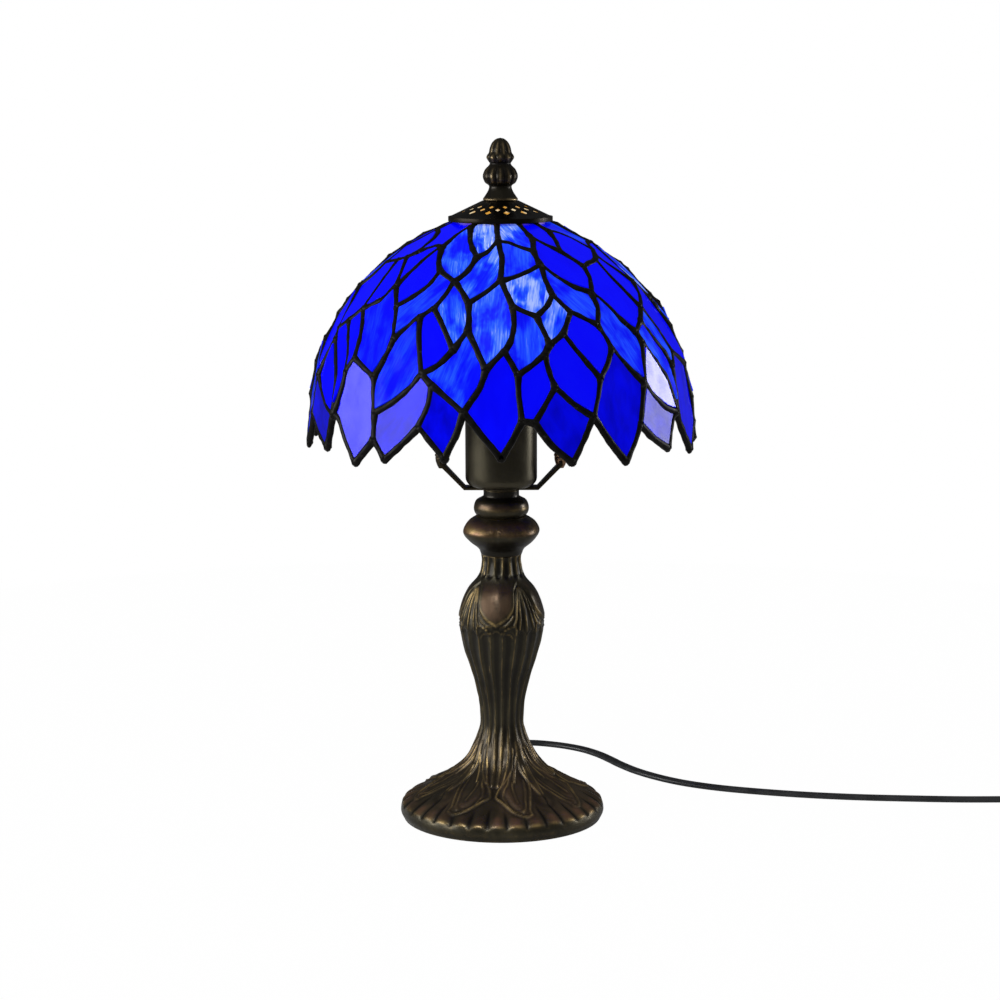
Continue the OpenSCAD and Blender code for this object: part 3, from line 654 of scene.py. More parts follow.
def make_cord():
    """Flat twin cord in one length, from the foot through its switch and coil to the plug."""
    open_run = catmull_rom(EXIT_ROUTE + LAMP_ROUTE, 5)
    to_coil = catmull_rom(COIL_ROUTE + coil_turns()[:1], 5)[:-1]
    turns = np.array(coil_turns())
    to_plug = catmull_rom([turns[-1].tolist()] + PLUG_ROUTE, 6)[1:]
    path = np.vstack([open_run, to_coil, turns, to_plug])
    on_edge = np.concatenate([np.zeros(len(open_run)), np.linspace(0, 1, len(to_coil)),
                              np.ones(len(turns)),
                              1 - smooth_step(0, 0.45, np.linspace(0, 1, len(to_plug)))])
    _, side, up = frames_along(path, (0, 0, 1))
    # flat on the table in the open run, and turned on edge in the coil
    lean = np.radians(90 * smooth_step(0, 1, on_edge))[:, None]
    wide, thin = side * np.cos(lean) + up * np.sin(lean), up * np.cos(lean) - side * np.sin(lean)
    lobe = CORD_THICK / 2
    path[:, 2] = np.maximum(path[:, 2], lobe + lobe * np.sin(lean[:, 0]) + 0.2)
    arc = np.radians(np.arange(-110, 111, 22))
    right = np.stack([lobe + lobe * np.cos(arc), lobe * np.sin(arc)], 1)
    groove = np.array([[0, 0.5 * lobe]])
    section = np.vstack([right, groove, -right, -groove])
    points, faces = swept(path, section, wide, thin)
    cord = new_piece("supply_cord_run", points, faces, cord_vinyl, "base", "black_rubber",
                     ["supply_cord", "cord_coil"])
    return cord, path * MM


cord, cord_path = make_cord()


# ---------- shade: leaves of glass and the soldered seams between them ----------

# Half of the seams' width in CAD, how far they stand off the leaves' middle, and a bead's two half sizes
SEAM_HALF = 1.5
SEAM_RISE = 1.7
BEAD_WIDE = 1.95
BEAD_TALL = 1.75
BEAD_STEP = 1.2
BLOB_SIZES = (2.35, 2.85)
# How far the leaves reach under their seams: round their middle, and at their two faces
ROLLED_EDGE = 0.35
UNDER_SEAM = 0.1
# How bright the blue is at the hem, how much brighter the upper leaves are, and how far single leaves differ at
# random; the darker hem is painted shade
HEM_TONE = 0.25
UPPER_TONE = 0.62
TONE_SPREAD = 0.08
# Heights between which the leaves go from the one to the other
TONE_HEIGHTS = (195, 255)
GLASS_ROWS = ["glass_crown_row", "glass_upper_row", "glass_middle_row", "glass_lower_row",
              "glass_hem_row", "glass_tip_row"]


def cad_shape(node):
    """Separate points of a CAD node in millimetres, and its triangles."""
    mesh = frame["nodes"][node].data
    places, points, number = {}, [], []
    for vertex in mesh.vertices:
        key = tuple(round(c * 1e6) for c in vertex.co)
        if key not in places:
            places[key] = len(points)
            points.append([c / MM for c in vertex.co])
        number.append(places[key])
    mesh.calc_loop_triangles()
    triangles = [[number[v] for v in t.vertices] for t in mesh.loop_triangles]
    return np.array(points), [t for t in triangles if len(set(t)) == 3]


def islands(count, triangles):
    """Triangles sorted into the separate solids that they belong to."""
    leader = list(range(count))

    def find(v):
        while leader[v] != v:
            leader[v] = leader[leader[v]]
            v = leader[v]
        return v

    for a, b, c in triangles:
        leader[find(a)] = find(b)
        leader[find(b)] = find(c)
    groups = {}
    for t in triangles:
        groups.setdefault(find(t[0]), []).append(t)
    return [groups[k] for k in sorted(groups)]


def leaf_of(points, triangles):
    """Outer edge of one flat leaf, in order, with the leaf's outward direction and thickness."""
    p = points[np.array(triangles)]
    cross = np.cross(p[:, 1] - p[:, 0], p[:, 2] - p[:, 0])
    size = np.linalg.norm(cross, axis=1)
    out = cross[size.argmax()] / size.max()
    middle = points[np.unique(triangles)].mean(0)
    # away from the axis, and upwards where the dome is nearly flat
    if out @ (middle * (1, 1, 0) + (0, 0, 20)) < 0:
        out = -out
    level = points @ out
    top = max(level[v] for t in triangles for v in t)
    low = min(level[v] for t in triangles for v in t)
    # the edges that only one triangle of the outer face has are its outline
    face = [t for t in triangles if all(level[v] > top - 0.01 for v in t)]
    edges = {(a, b) for t in face for a, b in zip(t, t[1:] + t[:1])}
    after = {a: b for a, b in edges if (b, a) not in edges}
    ring = [min(after)]
    while after[ring[-1]] != ring[0]:
        ring.append(after[ring[-1]])
    across = np.cross((0, 0, 1), out)
    across /= np.linalg.norm(across)
    rise = np.cross(out, across)
    centre = points[ring].mean(0) - out * (top - low) / 2
    flat = np.stack([(points[ring] - centre) @ across, (points[ring] - centre) @ rise], 1)
    area = (flat[:, 0] * np.roll(flat[:, 1], -1) - np.roll(flat[:, 0], -1) * flat[:, 1]).sum()
    if area < 0:
        flat = flat[::-1]
    return {"flat": flat, "centre": centre, "across": across, "rise": rise, "out": out,
            "thick": top - low}


def moved_edge(flat, distance, blunt=0.05):
    """A flat ring of points moved out sideways; the larger blunt is, the less sharp corners stand out."""
    a = flat - np.roll(flat, 1, 0)
    b = np.roll(flat, -1, 0) - flat
    a /= np.linalg.norm(a, axis=1)[:, None]
    b /= np.linalg.norm(b, axis=1)[:, None]
    na, nb = np.stack([a[:, 1], -a[:, 0]], 1), np.stack([b[:, 1], -b[:, 0]], 1)
    return flat + (na + nb) * distance / np.maximum(1 + (na * nb).sum(1), blunt)[:, None]


def in_space(leaf, flat, lift=0.0):
    """Points of a leaf's own plane, lifted off it, in the lamp's frame."""
    return leaf["centre"] + flat[:, :1] * leaf["across"] + flat[:, 1:] * leaf["rise"] + leaf["out"] * lift


def leaf_solid(leaf):
    """The leaf as a plate with a slightly rolled edge, tucked a little way under its seams."""
    edge = moved_edge(leaf["flat"], ROLLED_EDGE, 0.9)
    inner = moved_edge(leaf["flat"], UNDER_SEAM, 0.9)
    half = leaf["thick"] / 2
    n = len(edge)
    points = np.vstack([in_space(leaf, inner, half), in_space(leaf, edge, half - ROLLED_EDGE),
                        in_space(leaf, edge, ROLLED_EDGE - half), in_space(leaf, inner, -half)])
    faces = [list(range(n)), [3 * n + k for k in range(n)][::-1]]
    faces += [[r * n + k, (r + 1) * n + k, (r + 1) * n + (k + 1) % n, r * n + (k + 1) % n]
              for r in range(3) for k in range(n)]
    return points, faces


# Leaves with the most white in them: [degrees from the front, height of the middle, share of white]
WISPY = [[-13, 314, 0.8], [11, 314, 0.75], [11, 289, 1.0], [19, 276, 0.8], [-9, 297, 0.6],
         [-3, 275, 0.55], [-17, 280, 0.5], [-26, 305, 0.45], [-13, 252, 0.3], [63, 263, 0.4],
         [8, 304, 0.35], [8, 268, 0.35], [-31, 285, 0.25], [-33, 252, 0.2], [59, 253, 0.35],
         [29, 286, 0.3], [43, 267, 0.3], [-46, 270, 0.15], [70, 313, 0.3]]
NEAR_DEGREES = 3
NEAR_MM = 4
FRONT_HALF = 75
FRONT_WHITE = 0.03


def white_share(leaf, chance):
    """How much white is drawn through a leaf: set for the clearest ones, by chance for the rest."""
    x, y, z = leaf["centre"]
    turn = math.degrees(math.atan2(x, -y))
    by_chance = chance.choice([0.0, 0.1, 0.3, 0.8])
    for at, height, share in WISPY:
        if abs(turn - at) < NEAR_DEGREES and abs(z - height) < NEAR_MM:
            return share
    return FRONT_WHITE if abs(turn) < FRONT_HALF else by_chance


leaves = {}


def make_leaves():
    """One piece for each row of leaves; each leaf stores its own grain, wisps and brightness of blue, darker
    towards the hem as painted shade.
    """
    chance = random.Random(7)
    for row in GLASS_ROWS:
        points, triangles = cad_shape(row)
        leaves[row] = [leaf_of(points, t) for t in islands(len(points), triangles)]
        parts, leaf_place, wisp, tone, outer = [], [], [], [], []
        for leaf in leaves[row]:
            solid = leaf_solid(leaf)
            parts.append(solid)
            # the grain runs the leaf's long way
            grain = np.linalg.svd(leaf["flat"] - leaf["flat"].mean(0))[2][0]
            from_middle = solid[0] - leaf["centre"]
            u, v = from_middle @ leaf["across"], from_middle @ leaf["rise"]
            seed = chance.uniform(0, 900)
            leaf_place.append(np.stack([u * grain[0] + v * grain[1], v * grain[0] - u * grain[1],
                                        np.full(len(u), seed)], 1))
            wisp += [white_share(leaf, chance)] * len(u)
            # the outer faces are the ones that carry the painted glow
            outer += [1.0] * (len(u) // 2) + [0.0] * (len(u) // 2)
            # painted shade: the lower the leaf, the darker its blue
            high = float(smooth_step(*TONE_HEIGHTS, leaf["centre"][2]))
            own = chance.uniform(-TONE_SPREAD, TONE_SPREAD)
            tone += [HEM_TONE + UPPER_TONE * high + own] * len(u)
        piece = new_piece(row.replace("glass_", "leaves_"), *joined(parts), blue_leaf_glass, "shade",
                          "blue_glass", [row], smooth=False)
        set_vectors(piece, "leaf", np.vstack(leaf_place))
        set_values(piece, "wisp", wisp)
        set_values(piece, "tone", tone)
        set_values(piece, "outer", outer)


def seam_network():
    """Points where the seams meet or bend, their outward directions, and the lines between them."""
    points, _ = cad_shape("solder_seams")
    all_leaves = [leaf for row in GLASS_ROWS for leaf in leaves[row]]
    near_glass = np.vstack([in_space(leaf, leaf["flat"], side * SEAM_RISE)
                            for leaf in all_leaves for side in (1, -1)])
    # what isn't a leaf's own edge is the shared line of the seams, once outside and once inside
    free = np.array([np.min(((near_glass - p) ** 2).sum(1)) > 0.02 ** 2 for p in points])
    lone = points[free]
    # each node is midway between an outer point and the inner point straight behind it
    nodes, outs = [], []
    for p in lone:
        apart = lone - p
        size = np.linalg.norm(apart, axis=1)
        inward = -(p * (1, 1, 0) + (0, 0, 0.35 * max(p[2] - 190, 0)))
        for q in np.nonzero(np.abs(size - 2 * SEAM_RISE) < 0.03)[0]:
            if apart[q] @ inward > 0.75 * size[q] * np.linalg.norm(inward):
                nodes.append(p + apart[q] / 2)
                outs.append(-apart[q] / size[q])
    nodes, outs = np.array(nodes), np.array(outs)
    lines = set()
    met = [[] for _ in nodes]
    for leaf in all_leaves:
        corners = in_space(leaf, moved_edge(leaf["flat"], SEAM_HALF))
        ring = [int(((nodes - c) ** 2).sum(1).argmin()) for c in corners]
        for v, corner in zip(ring, corners):
            met[v].append(corner)
        lines |= {(min(a, b), max(a, b)) for a, b in zip(ring, ring[1:] + ring[:1]) if a != b}
    # a seam lies midway between the leaves that it joins
    nodes = np.array([np.mean(m, axis=0) if m else n for m, n in zip(met, nodes)])
    return nodes, outs, sorted(lines)


def seam_runs(nodes, lines):
    """Seams followed from junction to junction or sharp corner, as lists of points."""
    beside = {}
    for a, b in lines:
        beside.setdefault(a, []).append(b)
        beside.setdefault(b, []).append(a)

    def passes(v):
        """Whether a run goes on through this node, because only two seams meet there, nearly in line."""
        if len(beside[v]) != 2:
            return False
        a, b = (nodes[u] - nodes[v] for u in beside[v])
        return a @ b < -0.55 * np.linalg.norm(a) * np.linalg.norm(b)

    left = set(lines)
    runs = []
    for start in [v for v in sorted(beside) if not passes(v)]:
        for step in beside[start]:
            if (min(start, step), max(start, step)) not in left:
                continue
            run = [start, step]
            left.discard((min(start, step), max(start, step)))
            while passes(run[-1]) and run[-1] != start:
                ahead = [v for v in beside[run[-1]] if v != run[-2]][0]
                left.discard((min(run[-1], ahead), max(run[-1], ahead)))
                run.append(ahead)
            runs.append(run)
    return runs, [v for v in sorted(beside) if not passes(v)]


def seam_bead(nodes, outs, run, chance):
    """One rounded bead of solder, a little uneven in width and line as it is when run by hand."""
    line = catmull_rom(np.hstack([nodes[run], outs[run]]), 6)
    at = walked(line[:, :3])
    step = np.linspace(0, at[-1], max(4, int(at[-1] / BEAD_STEP)))
    line = np.stack([np.interp(step, at, line[:, k]) for k in range(6)], 1)
    path, up = line[:, :3], line[:, 3:] / np.linalg.norm(line[:, 3:], axis=1)[:, None]
    along = np.gradient(path, axis=0)
    side = np.cross(along, up)
    side /= np.linalg.norm(side, axis=1)[:, None]
    seed = chance.uniform(0, 500)
    lump = np.array([noise.noise(Vector((d * 0.22 + seed, 3.1, 0))) for d in step])
    drift = np.array([noise.noise(Vector((d * 0.16, seed, 7.7))) for d in step])
    settle = np.sin(np.pi * np.clip(step / step[-1], 0, 1)) ** 0.5
    path = path + side * (0.3 * drift * settle)[:, None]
    turn = np.radians(np.arange(0, 360, 30))
    section = np.stack([np.cos(turn) * BEAD_WIDE, np.sin(turn) * BEAD_TALL], 1)
    from_end = np.minimum(step, step[-1] - step)
    # the solder draws up where beads meet
    fillet = 0.24 * np.exp(-from_end / 2.2)
    return swept(path, section, side, up, widths=1 + 0.2 * lump + fillet)


def solder_blob(place, out, size):
    """Flattened drop of solder where seams meet."""
    rings, sides, half_tall = 5, 10, 0.95 * SEAM_RISE
    rise = np.linspace(-math.pi / 2, math.pi / 2, rings + 2)[1:-1]
    turn = np.arange(sides) * math.tau / sides
    across = np.cross(out, (0.31, 0.52, 0.8))
    across /= np.linalg.norm(across)
    other = np.cross(out, across)
    points = [place - out * SEAM_RISE * 0.93]
    for r in rise:
        for t in turn:
            points.append(place + (across * math.cos(t) + other * math.sin(t)) * size * math.cos(r)
                          + out * half_tall * math.sin(r))
    points.append(place + out * half_tall)
    faces = [[0, 1 + (k + 1) % sides, 1 + k] for k in range(sides)]
    faces += [[1 + r * sides + k, 1 + r * sides + (k + 1) % sides, 1 + (r + 1) * sides + (k + 1) % sides,
               1 + (r + 1) * sides + k] for r in range(rings - 1) for k in range(sides)]
    last = 1 + (rings - 1) * sides
    faces += [[last + k, last + (k + 1) % sides, len(points) - 1] for k in range(sides)]
    return points, faces


def make_seams():
    """Beads and blobs of solder over the whole shade, as three pieces."""
    chance = random.Random(11)
    nodes, outs, lines = seam_network()
    runs, ends = seam_runs(nodes, lines)
    thirds = [[], [], []]

    def third_of(place):
        """0 for the front third of the shade, then 1 and 2 round it."""
        return int((math.degrees(math.atan2(place[0], -place[1])) + 420) % 360 // 120)

    for run in runs:
        thirds[third_of(nodes[run[len(run) // 2]])].append(seam_bead(nodes, outs, run, chance))
    for v in ends:
        thirds[third_of(nodes[v])].append(solder_blob(nodes[v], outs[v], chance.uniform(*BLOB_SIZES)))
    # no bead stands out past the CAD seams on the two sides where those are the widest thing
    left_front = box_mm("solder_seams")[0][:2] + 0.05
    for k, parts in enumerate(thirds):
        points, faces = joined(parts)
        points[:, :2] = np.maximum(points[:, :2], left_front)
        piece = new_piece(f"solder_seams_{k + 1}", points, faces, solder, "shade", "solder",
                          ["solder_seams"])
        outward(piece)


make_leaves()
make_seams()


# ---------- cast base: rim, roots, fluted column and petals ----------

BORE = 5.3
CASTING = [[53.2, 0.4], [54.8, 4.6], [52.2, 9.8], [40, 16.4], [26, 24.4], [17.5, 33.2], [12.8, 46],
           [11.7, 57], [14.8, 75], [20.4, 93], [22.4, 107], [18.8, 121], [12.6, 131.5], [10.6, 140],
           [10.8, 144]]
HOLLOW_FOOT = [[BORE, 144], [BORE, 80], [BORE, 16], [20, 16], [30, 14.5], [40, 11.3], [46, 9],
               [50.5, 5.4], [50.5, 0.4]]
QUARTER_START = -8.5
# Millimetres walked up the outside to where a relief or colour starts, is full, fades and ends
ROOTS_ON = (11, 17, 56, 76)
LEAVES_ON = (122, 126, 150, 154)
PETAL_LIP_ON = (128, 130, 137, 143)
LOBE_COPPER_ON = (8, 10, 13, 18)
FLUTES_START = (54, 70)
FLUTES_DEEPEN = (66, 100)
FLUTE_ARCH = 124
NECK_FOOT = 156.5
# How far the pattern wanders, in degrees, and how uneven the ground is, in millimetres
WANDER = 2.2
UNEVEN = 0.22

# The pattern repeats four times round, each time mirrored about its middle.
# Its lines are [degrees from the mirror line, millimetres walked up the outside from the table].
TOES = [[20, 60], [15, 50], [12, 42], [12, 36], [16, 30], [20, 24], [24, 19]]
ROOT_LINES = [
    # [height, half width, gold, points]; the last two are the broad toes and the swell beside them
    [1.2, 1.5, 0.55, [[7.2, 70], [6.2, 60], [5.7, 55], [5.2, 50], [4.2, 44], [3.2, 39]]],
    [0.9, 0.8, 1.0, [[24.7, 70], [22.7, 62], [20.7, 57], [16.7, 52], [13.2, 47], [10.7, 43], [7.7, 39],
                     [4.7, 36], [3.2, 33], [2.7, 30.5], [4.7, 29], [7.7, 27.5], [10.7, 25], [13.7, 22],
                     [16.7, 19], [19.7, 17], [22.7, 15.5], [25.7, 15.3], [27.5, 16.2]]],
    [0.7, 0.75, 0.6, [[27.5, 16.2], [27.7, 20], [30.7, 25], [33.7, 30], [36.7, 34], [39, 38],
                       [41, 43], [43, 50]]],
    [0.6, 0.6, 0.6, [[16.2, 43], [13.2, 38], [10.2, 35], [9.2, 31], [10.9, 28], [12.5, 25], [14.7, 22],
                     [18.2, 19.2], [21.4, 18.6], [24, 19.5]]],
    [0.5, 0.65, 0.4, [[22.7, 18], [25.7, 22], [28.2, 28], [30.7, 32], [33, 37], [35, 42]]],
    [0.55, 0.6, 0.45, [[20.2, 41], [19.2, 37], [19.7, 33], [20.2, 28], [20.4, 25.5]]],
    [0.7, 0.7, 0.75, [[36.2, 56], [32.2, 52], [27.2, 48], [24.2, 44], [22.7, 41]]],
    [0.6, 0.7, 0.7, [[30.7, 60], [24.7, 51], [19.7, 47], [14.7, 43], [9.7, 39.5]]],
    [0.7, 0.8, 0.6, [[40, 64], [38.5, 56], [38, 50], [39.5, 44], [42, 36], [43.5, 30]]],
    [1.3, 3.2, 0.0, TOES],
    [1.1, 2.6, 0.1, [[45, 62], [45, 48], [45, 38], [45, 26]]],
]
PETAL = [[0, 130.6], [3, 131.2], [11, 133], [19, 135.2], [26, 138.6], [29.5, 142.4], [31, 146.5],
         [33.5, 150], [39, 152.5], [45, 154], [60, 154], [60, 171], [-15, 171], [-15, 130.6]]
LEAF_LINES = [
    [0.8, 0.7, 0.9, [[41, 151], [36, 146], [32, 140], [29, 134], [26, 131]]],
    [0.7, 0.6, 0.9, [[43, 151], [39.5, 146], [37, 140], [35, 133], [33, 129]]],
    [0.8, 0.7, 1.0, [[45, 152], [45, 140], [45, 128]]],
    [0.7, 0.6, 0.6, [[6, 130.5], [12, 130.6], [18, 132.2], [23, 134.5], [26, 136.5]]],
    [0.6, 0.6, 0.8, [[12, 128.6], [18, 130], [24, 130.6], [27, 130.5], [28.5, 129], [28, 126.5]]],
    [0.5, 0.6, 0.4, [[8, 127.2], [14, 126.8], [20, 126.2], [24, 124]]],
]
# Degrees from ridge to ridge, and where one of the ridges is
FLUTE_PITCH = 18
FLUTE_RIDGE = 9
NECK_PITCH = 22.5
NECK_RIDGE = 11.25
LOBE_PITCH = 11.25
# How far up the foot the grooves between the lobes run, across one mirrored half
LOBE_ENDS = [[0, 22], [11.25, 20], [22.5, 15], [33.75, 24], [45, 33]]


def mirrored(degrees):
    """Degrees from the nearest mirror line of the four-fold pattern, from 0 to 45."""
    return np.abs((degrees - QUARTER_START + 45) % 90 - 45)


def line_distance(phi, s, k, line):
    """Distance in millimetres to a line of short straight steps; k is millimetres to a degree there."""
    nearest = np.full(phi.shape, 1e9)
    for (a, b), (c, d) in zip(line[:-1], line[1:]):
        x0, y0 = (a - phi) * k, b - s
        dx, dy = (c - a) * k, d - b
        t = np.clip(-(x0 * dx + y0 * dy) / (dx * dx + dy * dy + 1e-9), 0, 1)
        nearest = np.minimum(nearest, np.hypot(x0 + t * dx, y0 + t * dy))
    return nearest


def inside_distance(phi, s, k, corners):
    """Distance in millimetres from a closed outline, positive inside it."""
    ring = np.array(corners + corners[:1], float)
    inside = np.zeros(phi.shape, bool)
    for (a, b), (c, d) in zip(ring[:-1], ring[1:]):
        if d != b:
            inside ^= ((b > s) != (d > s)) & (phi < a + (c - a) * (s - b) / (d - b))
    nearest = line_distance(phi, s, k, ring)
    return np.where(inside, nearest, -nearest)


def scallop(degrees, pitch, ridge):
    """0 on the ridges between channels and 1 in the middle of each channel."""
    t = ((degrees - ridge) / pitch) % 1
    return np.sin(np.pi * t)


def drawn_lines(phi, s, k, lines):
    """Height and gold of a set of ridges, and how shut in the ground beside them is."""
    height, gold, shut_in = np.zeros(phi.shape), np.zeros(phi.shape), np.zeros(phi.shape)
    for high, half, shine, points in lines:
        d = line_distance(phi, s, k, catmull_rom(points, 3))
        ridge = hump(d, 0, 0.82 * half)
        height = np.maximum(height, high * ridge) + 0.35 * np.minimum(height, high * ridge)
        if shine:
            gold = np.maximum(gold, shine * hump(d, 0, 0.45 * half))
            shut_in = np.maximum(shut_in, hump(d, 1.9 * half, 0.8 * half))
    return height, gold, shut_in * (1 - np.clip(2 * gold, 0, 1))


def casting_relief(degrees, s, radius):
    """Relief in millimetres, gold, bare copper and darkness over the outside of the casting;
    s is the distance walked up it from the table. The darkness is patina in the channels and painted shade
    under the petals' lips."""
    phi = mirrored(degrees)
    k = radius * math.radians(1)
    roots, root_gold, root_dark = drawn_lines(phi, s, k, ROOT_LINES)
    on_roots = band(s, *ROOTS_ON)
    # lobes round the edge of the foot, whose grooves run up to different heights
    lobe_end = np.interp(phi, *np.transpose(LOBE_ENDS))
    lobe = scallop(phi, LOBE_PITCH, 0)
    on_lobes = band(s, 7.2, 8.6, lobe_end - 6, lobe_end + 3)
    lobes = on_lobes * (1.25 * lobe ** 0.55 - 0.75)
    # flutes of the column, with arched tops
    flute = scallop(phi, FLUTE_PITCH, FLUTE_RIDGE)
    arch = FLUTE_ARCH + 3.5 * flute
    on_flutes = band(s, *FLUTES_START, arch - 0.8, arch + 0.8)
    flute_deep = 0.6 + 0.55 * smooth_step(*FLUTES_DEEPEN, s)
    flutes = -on_flutes * flute_deep * flute ** 0.7
    # petals over the belly, and the channels of the neck above them
    petal = inside_distance(phi, s, k, PETAL)
    leaf, leaf_gold, leaf_dark = drawn_lines(phi, s, k, LEAF_LINES)
    on_leaf = band(s, *LEAVES_ON) * smooth_step(0.2, -0.5, petal)
    raised_petal = 1.25 * smooth_step(-0.3, 0.9, petal) * smooth_step(160, 147, s)
    neck = scallop(phi, NECK_PITCH, NECK_RIDGE)
    neck_foot = NECK_FOOT + 2.5 * (1 - neck)
    on_neck = smooth_step(neck_foot - 0.6, neck_foot + 1.4, s)
    necks = -on_neck * 0.85 * neck ** 0.7
    height = on_roots * roots + lobes + flutes + on_leaf * leaf + raised_petal + necks
    gold = on_roots * root_gold + on_leaf * leaf_gold
    gold = np.maximum(gold, on_flutes * 0.36 * hump(flute, 0, 0.14))
    gold = np.maximum(gold, on_neck * 0.7 * hump(neck, 0, 0.25))
    petal_lip = hump(petal, 0.7, 0.6) * band(s, *PETAL_LIP_ON)
    gold = np.maximum(gold, 0.95 * petal_lip)
    lobe_lip = hump(s, 9, 0.8) * lobe ** 2
    gold = np.maximum(gold, 0.8 * lobe_lip)
    # bare copper brown on the petals, the lobes and the roots
    copper = 0.42 * smooth_step(0.8, 3, petal) * smooth_step(156, 149, s)
    copper = np.maximum(copper, 0.85 * lobe ** 1.5 * band(s, *LOBE_COPPER_ON))
    toes = line_distance(phi, s, k, catmull_rom(TOES, 3))
    copper = np.maximum(copper, 0.4 * hump(toes, 0, 4.5) * smooth_step(60, 40, s))
    copper = np.maximum(copper, 0.22 * on_roots)
    # dark patina in every channel, and painted shade under the petals' lips
    dark = np.maximum(on_roots * 0.5 * root_dark, on_leaf * 0.7 * leaf_dark)
    dark = np.maximum(dark, 0.95 * on_lobes * smooth_step(0.5, 0.12, lobe))
    dark = np.maximum(dark, 0.7 * on_flutes * smooth_step(0.55, 0.95, flute))
    dark = np.maximum(dark, 0.85 * on_neck * smooth_step(0.5, 0.95, neck))
    # painted shade just below the petals' lips
    under = hump(petal, -0.7, 0.6) * smooth_step(150, 140, s)
    dark = np.maximum(dark, 0.9 * under)
    return height, gold, copper, dark


def make_casting():
    """The foot and column in one casting with a cavity underneath, its relief in the mesh."""
    columns = 480
    line = catmull_rom(CASTING, 16)
    # rows are closest on the foot and the petals, where the relief is finest
    rows = np.concatenate([np.linspace(0, 8, 9)[:-1], np.linspace(8, 60, 62)[:-1],
                           np.linspace(60, 122, 46)[:-1], np.linspace(122, walked(line)[-1], 54)])
    outer = respaced(line, rows)
    slope = np.gradient(outer, axis=0)
    slope /= np.linalg.norm(slope, axis=1)[:, None]
    degrees, s = np.meshgrid(np.arange(columns) * 360 / columns, rows)
    radius = np.repeat(outer[:, :1], columns, 1)
    around = [(math.sin(math.radians(a)), math.cos(math.radians(a))) for a in degrees[0]]

    def slow_noise(across, up):
        return np.array([[noise.noise(Vector((across * x, across * y, up * b))) for x, y in around]
                         for b in rows])

    # as if modelled by hand
    wandered = degrees + WANDER * slow_noise(2.2, 0.045)
    height, gold, copper, dark = casting_relief(wandered, s, radius)
    height += UNEVEN * slow_noise(4, 0.11) * smooth_step(8, 12, s)
    radius = radius + slope[:, 1:] * height
    level = outer[:, 1:] - slope[:, :1] * height
    turn = np.radians(degrees)
    skin = np.stack([radius * np.sin(turn), -radius * np.cos(turn), level], -1).reshape(-1, 3)
    inner, _ = lathe(HOLLOW_FOOT, columns)
    total = len(rows) + len(HOLLOW_FOOT)
    piece = new_piece("cast_base", np.vstack([skin, inner]), grid_faces(total, columns, close_rows=True),
                      cast_bronze, "base", "bronze", ["base_casting"])
    outward(piece)
    for label, values in (("raised", gold), ("copper", copper), ("patina_and_shade", dark)):
        set_values(piece, label, np.concatenate([values.ravel(), np.zeros(len(inner))]))


make_casting()


# ---------- knop, collar and finial ----------

def modelled_turning(name, outline, bore, sides, relief, marks, material, body, slot, node, fine=8):
    """A turned casting with modelled relief. Both relief(degrees, height), in millimetres, and
    marks(degrees, height), which gives gold, copper brown and darkness, are for its outside; on the knop the
    copper brown is painted light and the darkness painted shade."""
    line = catmull_rom(outline, fine)
    low, high = line[0, 1], line[-1, 1]
    full = np.vstack([line, [[bore, high], [bore, low]]])
    outside = len(line)

    def only_outside(degrees, radius, height):
        shape = relief(degrees, height)
        shape[outside:] = 0
        return shape

    points, faces = lathe(full, sides, relief=only_outside)
    piece = outward(new_piece(name, points, faces, material, body, slot, [node]))
    degrees, heights = np.meshgrid(np.arange(sides) * 360 / sides, full[:, 1])
    for label, values in zip(("raised", "copper", "patina_and_shade"), marks(degrees, heights)):
        values = np.broadcast_to(values, degrees.shape).copy()
        values[outside:] = 0
        set_values(piece, label, values)


KNOP = [[10.8, 144], [12.4, 147.4], [17, 151], [20.5, 154.6], [21, 157.6], [18.4, 161.6], [13.6, 164.6]]


def knop_lobes(degrees):
    """1 on the middle of each of the four lobes and 0 between them."""
    return np.abs(np.cos(np.radians(2 * (degrees - QUARTER_START - 45))))


def knop_relief(degrees, height):
    """Four soft lobes with a dent between each two."""
    lobe = knop_lobes(degrees)
    belly = band(height, 148, 155, 160, 165)
    dent = hump(height, 156.5, 2.6) * (1 - lobe) ** 2
    return belly * (0.9 * lobe ** 0.6 - 1.1) - 0.7 * dent


def knop_marks(degrees, height):
    """Rubbed brow on each lobe, painted light over the upper shoulders in gold and copper brown, and painted
    shade darkening the underside.
    """
    lobe = knop_lobes(degrees)
    shoulder = band(height, 155.5, 157.5, 161, 164.5)
    # the rubbed brow, plus a share of painted light over the whole upper shoulder
    brow = 0.6 * hump(height, 158.8, 1.6) * lobe ** 2 + 0.22 * shoulder
    # copper brown on the shoulders is painted light on the upper half; the dark underside is painted shade
    return brow, shoulder * (0.45 + 0.55 * lobe), 0.8 * smooth_step(155, 150, height)


modelled_turning("knop_of_four_lobes", KNOP, BORE, 160, knop_relief, knop_marks, cast_bronze, "base",
                 "bronze", "knop")

COLLAR = [[12.8, 164.6], [14.3, 167], [14.6, 169.8], [13.4, 173], [10.4, 174.8], [9.5, 175.8],
          [9.5, 179]]


def collar_relief(degrees, height):
    """None: the collar is plain."""
    return 0 * height


def collar_marks(degrees, height):
    """Rubbed round its widest part, and dark patina in the concave neck above."""
    return 0.35 * hump(height, 169.5, 0.9), 0.45 * hump(height, 171, 1.5), 0.8 * smooth_step(
        172.5, 175, height)


modelled_turning("neck_collar", COLLAR, BORE, 120, collar_relief, collar_marks, cast_bronze, "base",
                 "dark_bronze", "collar_ring")

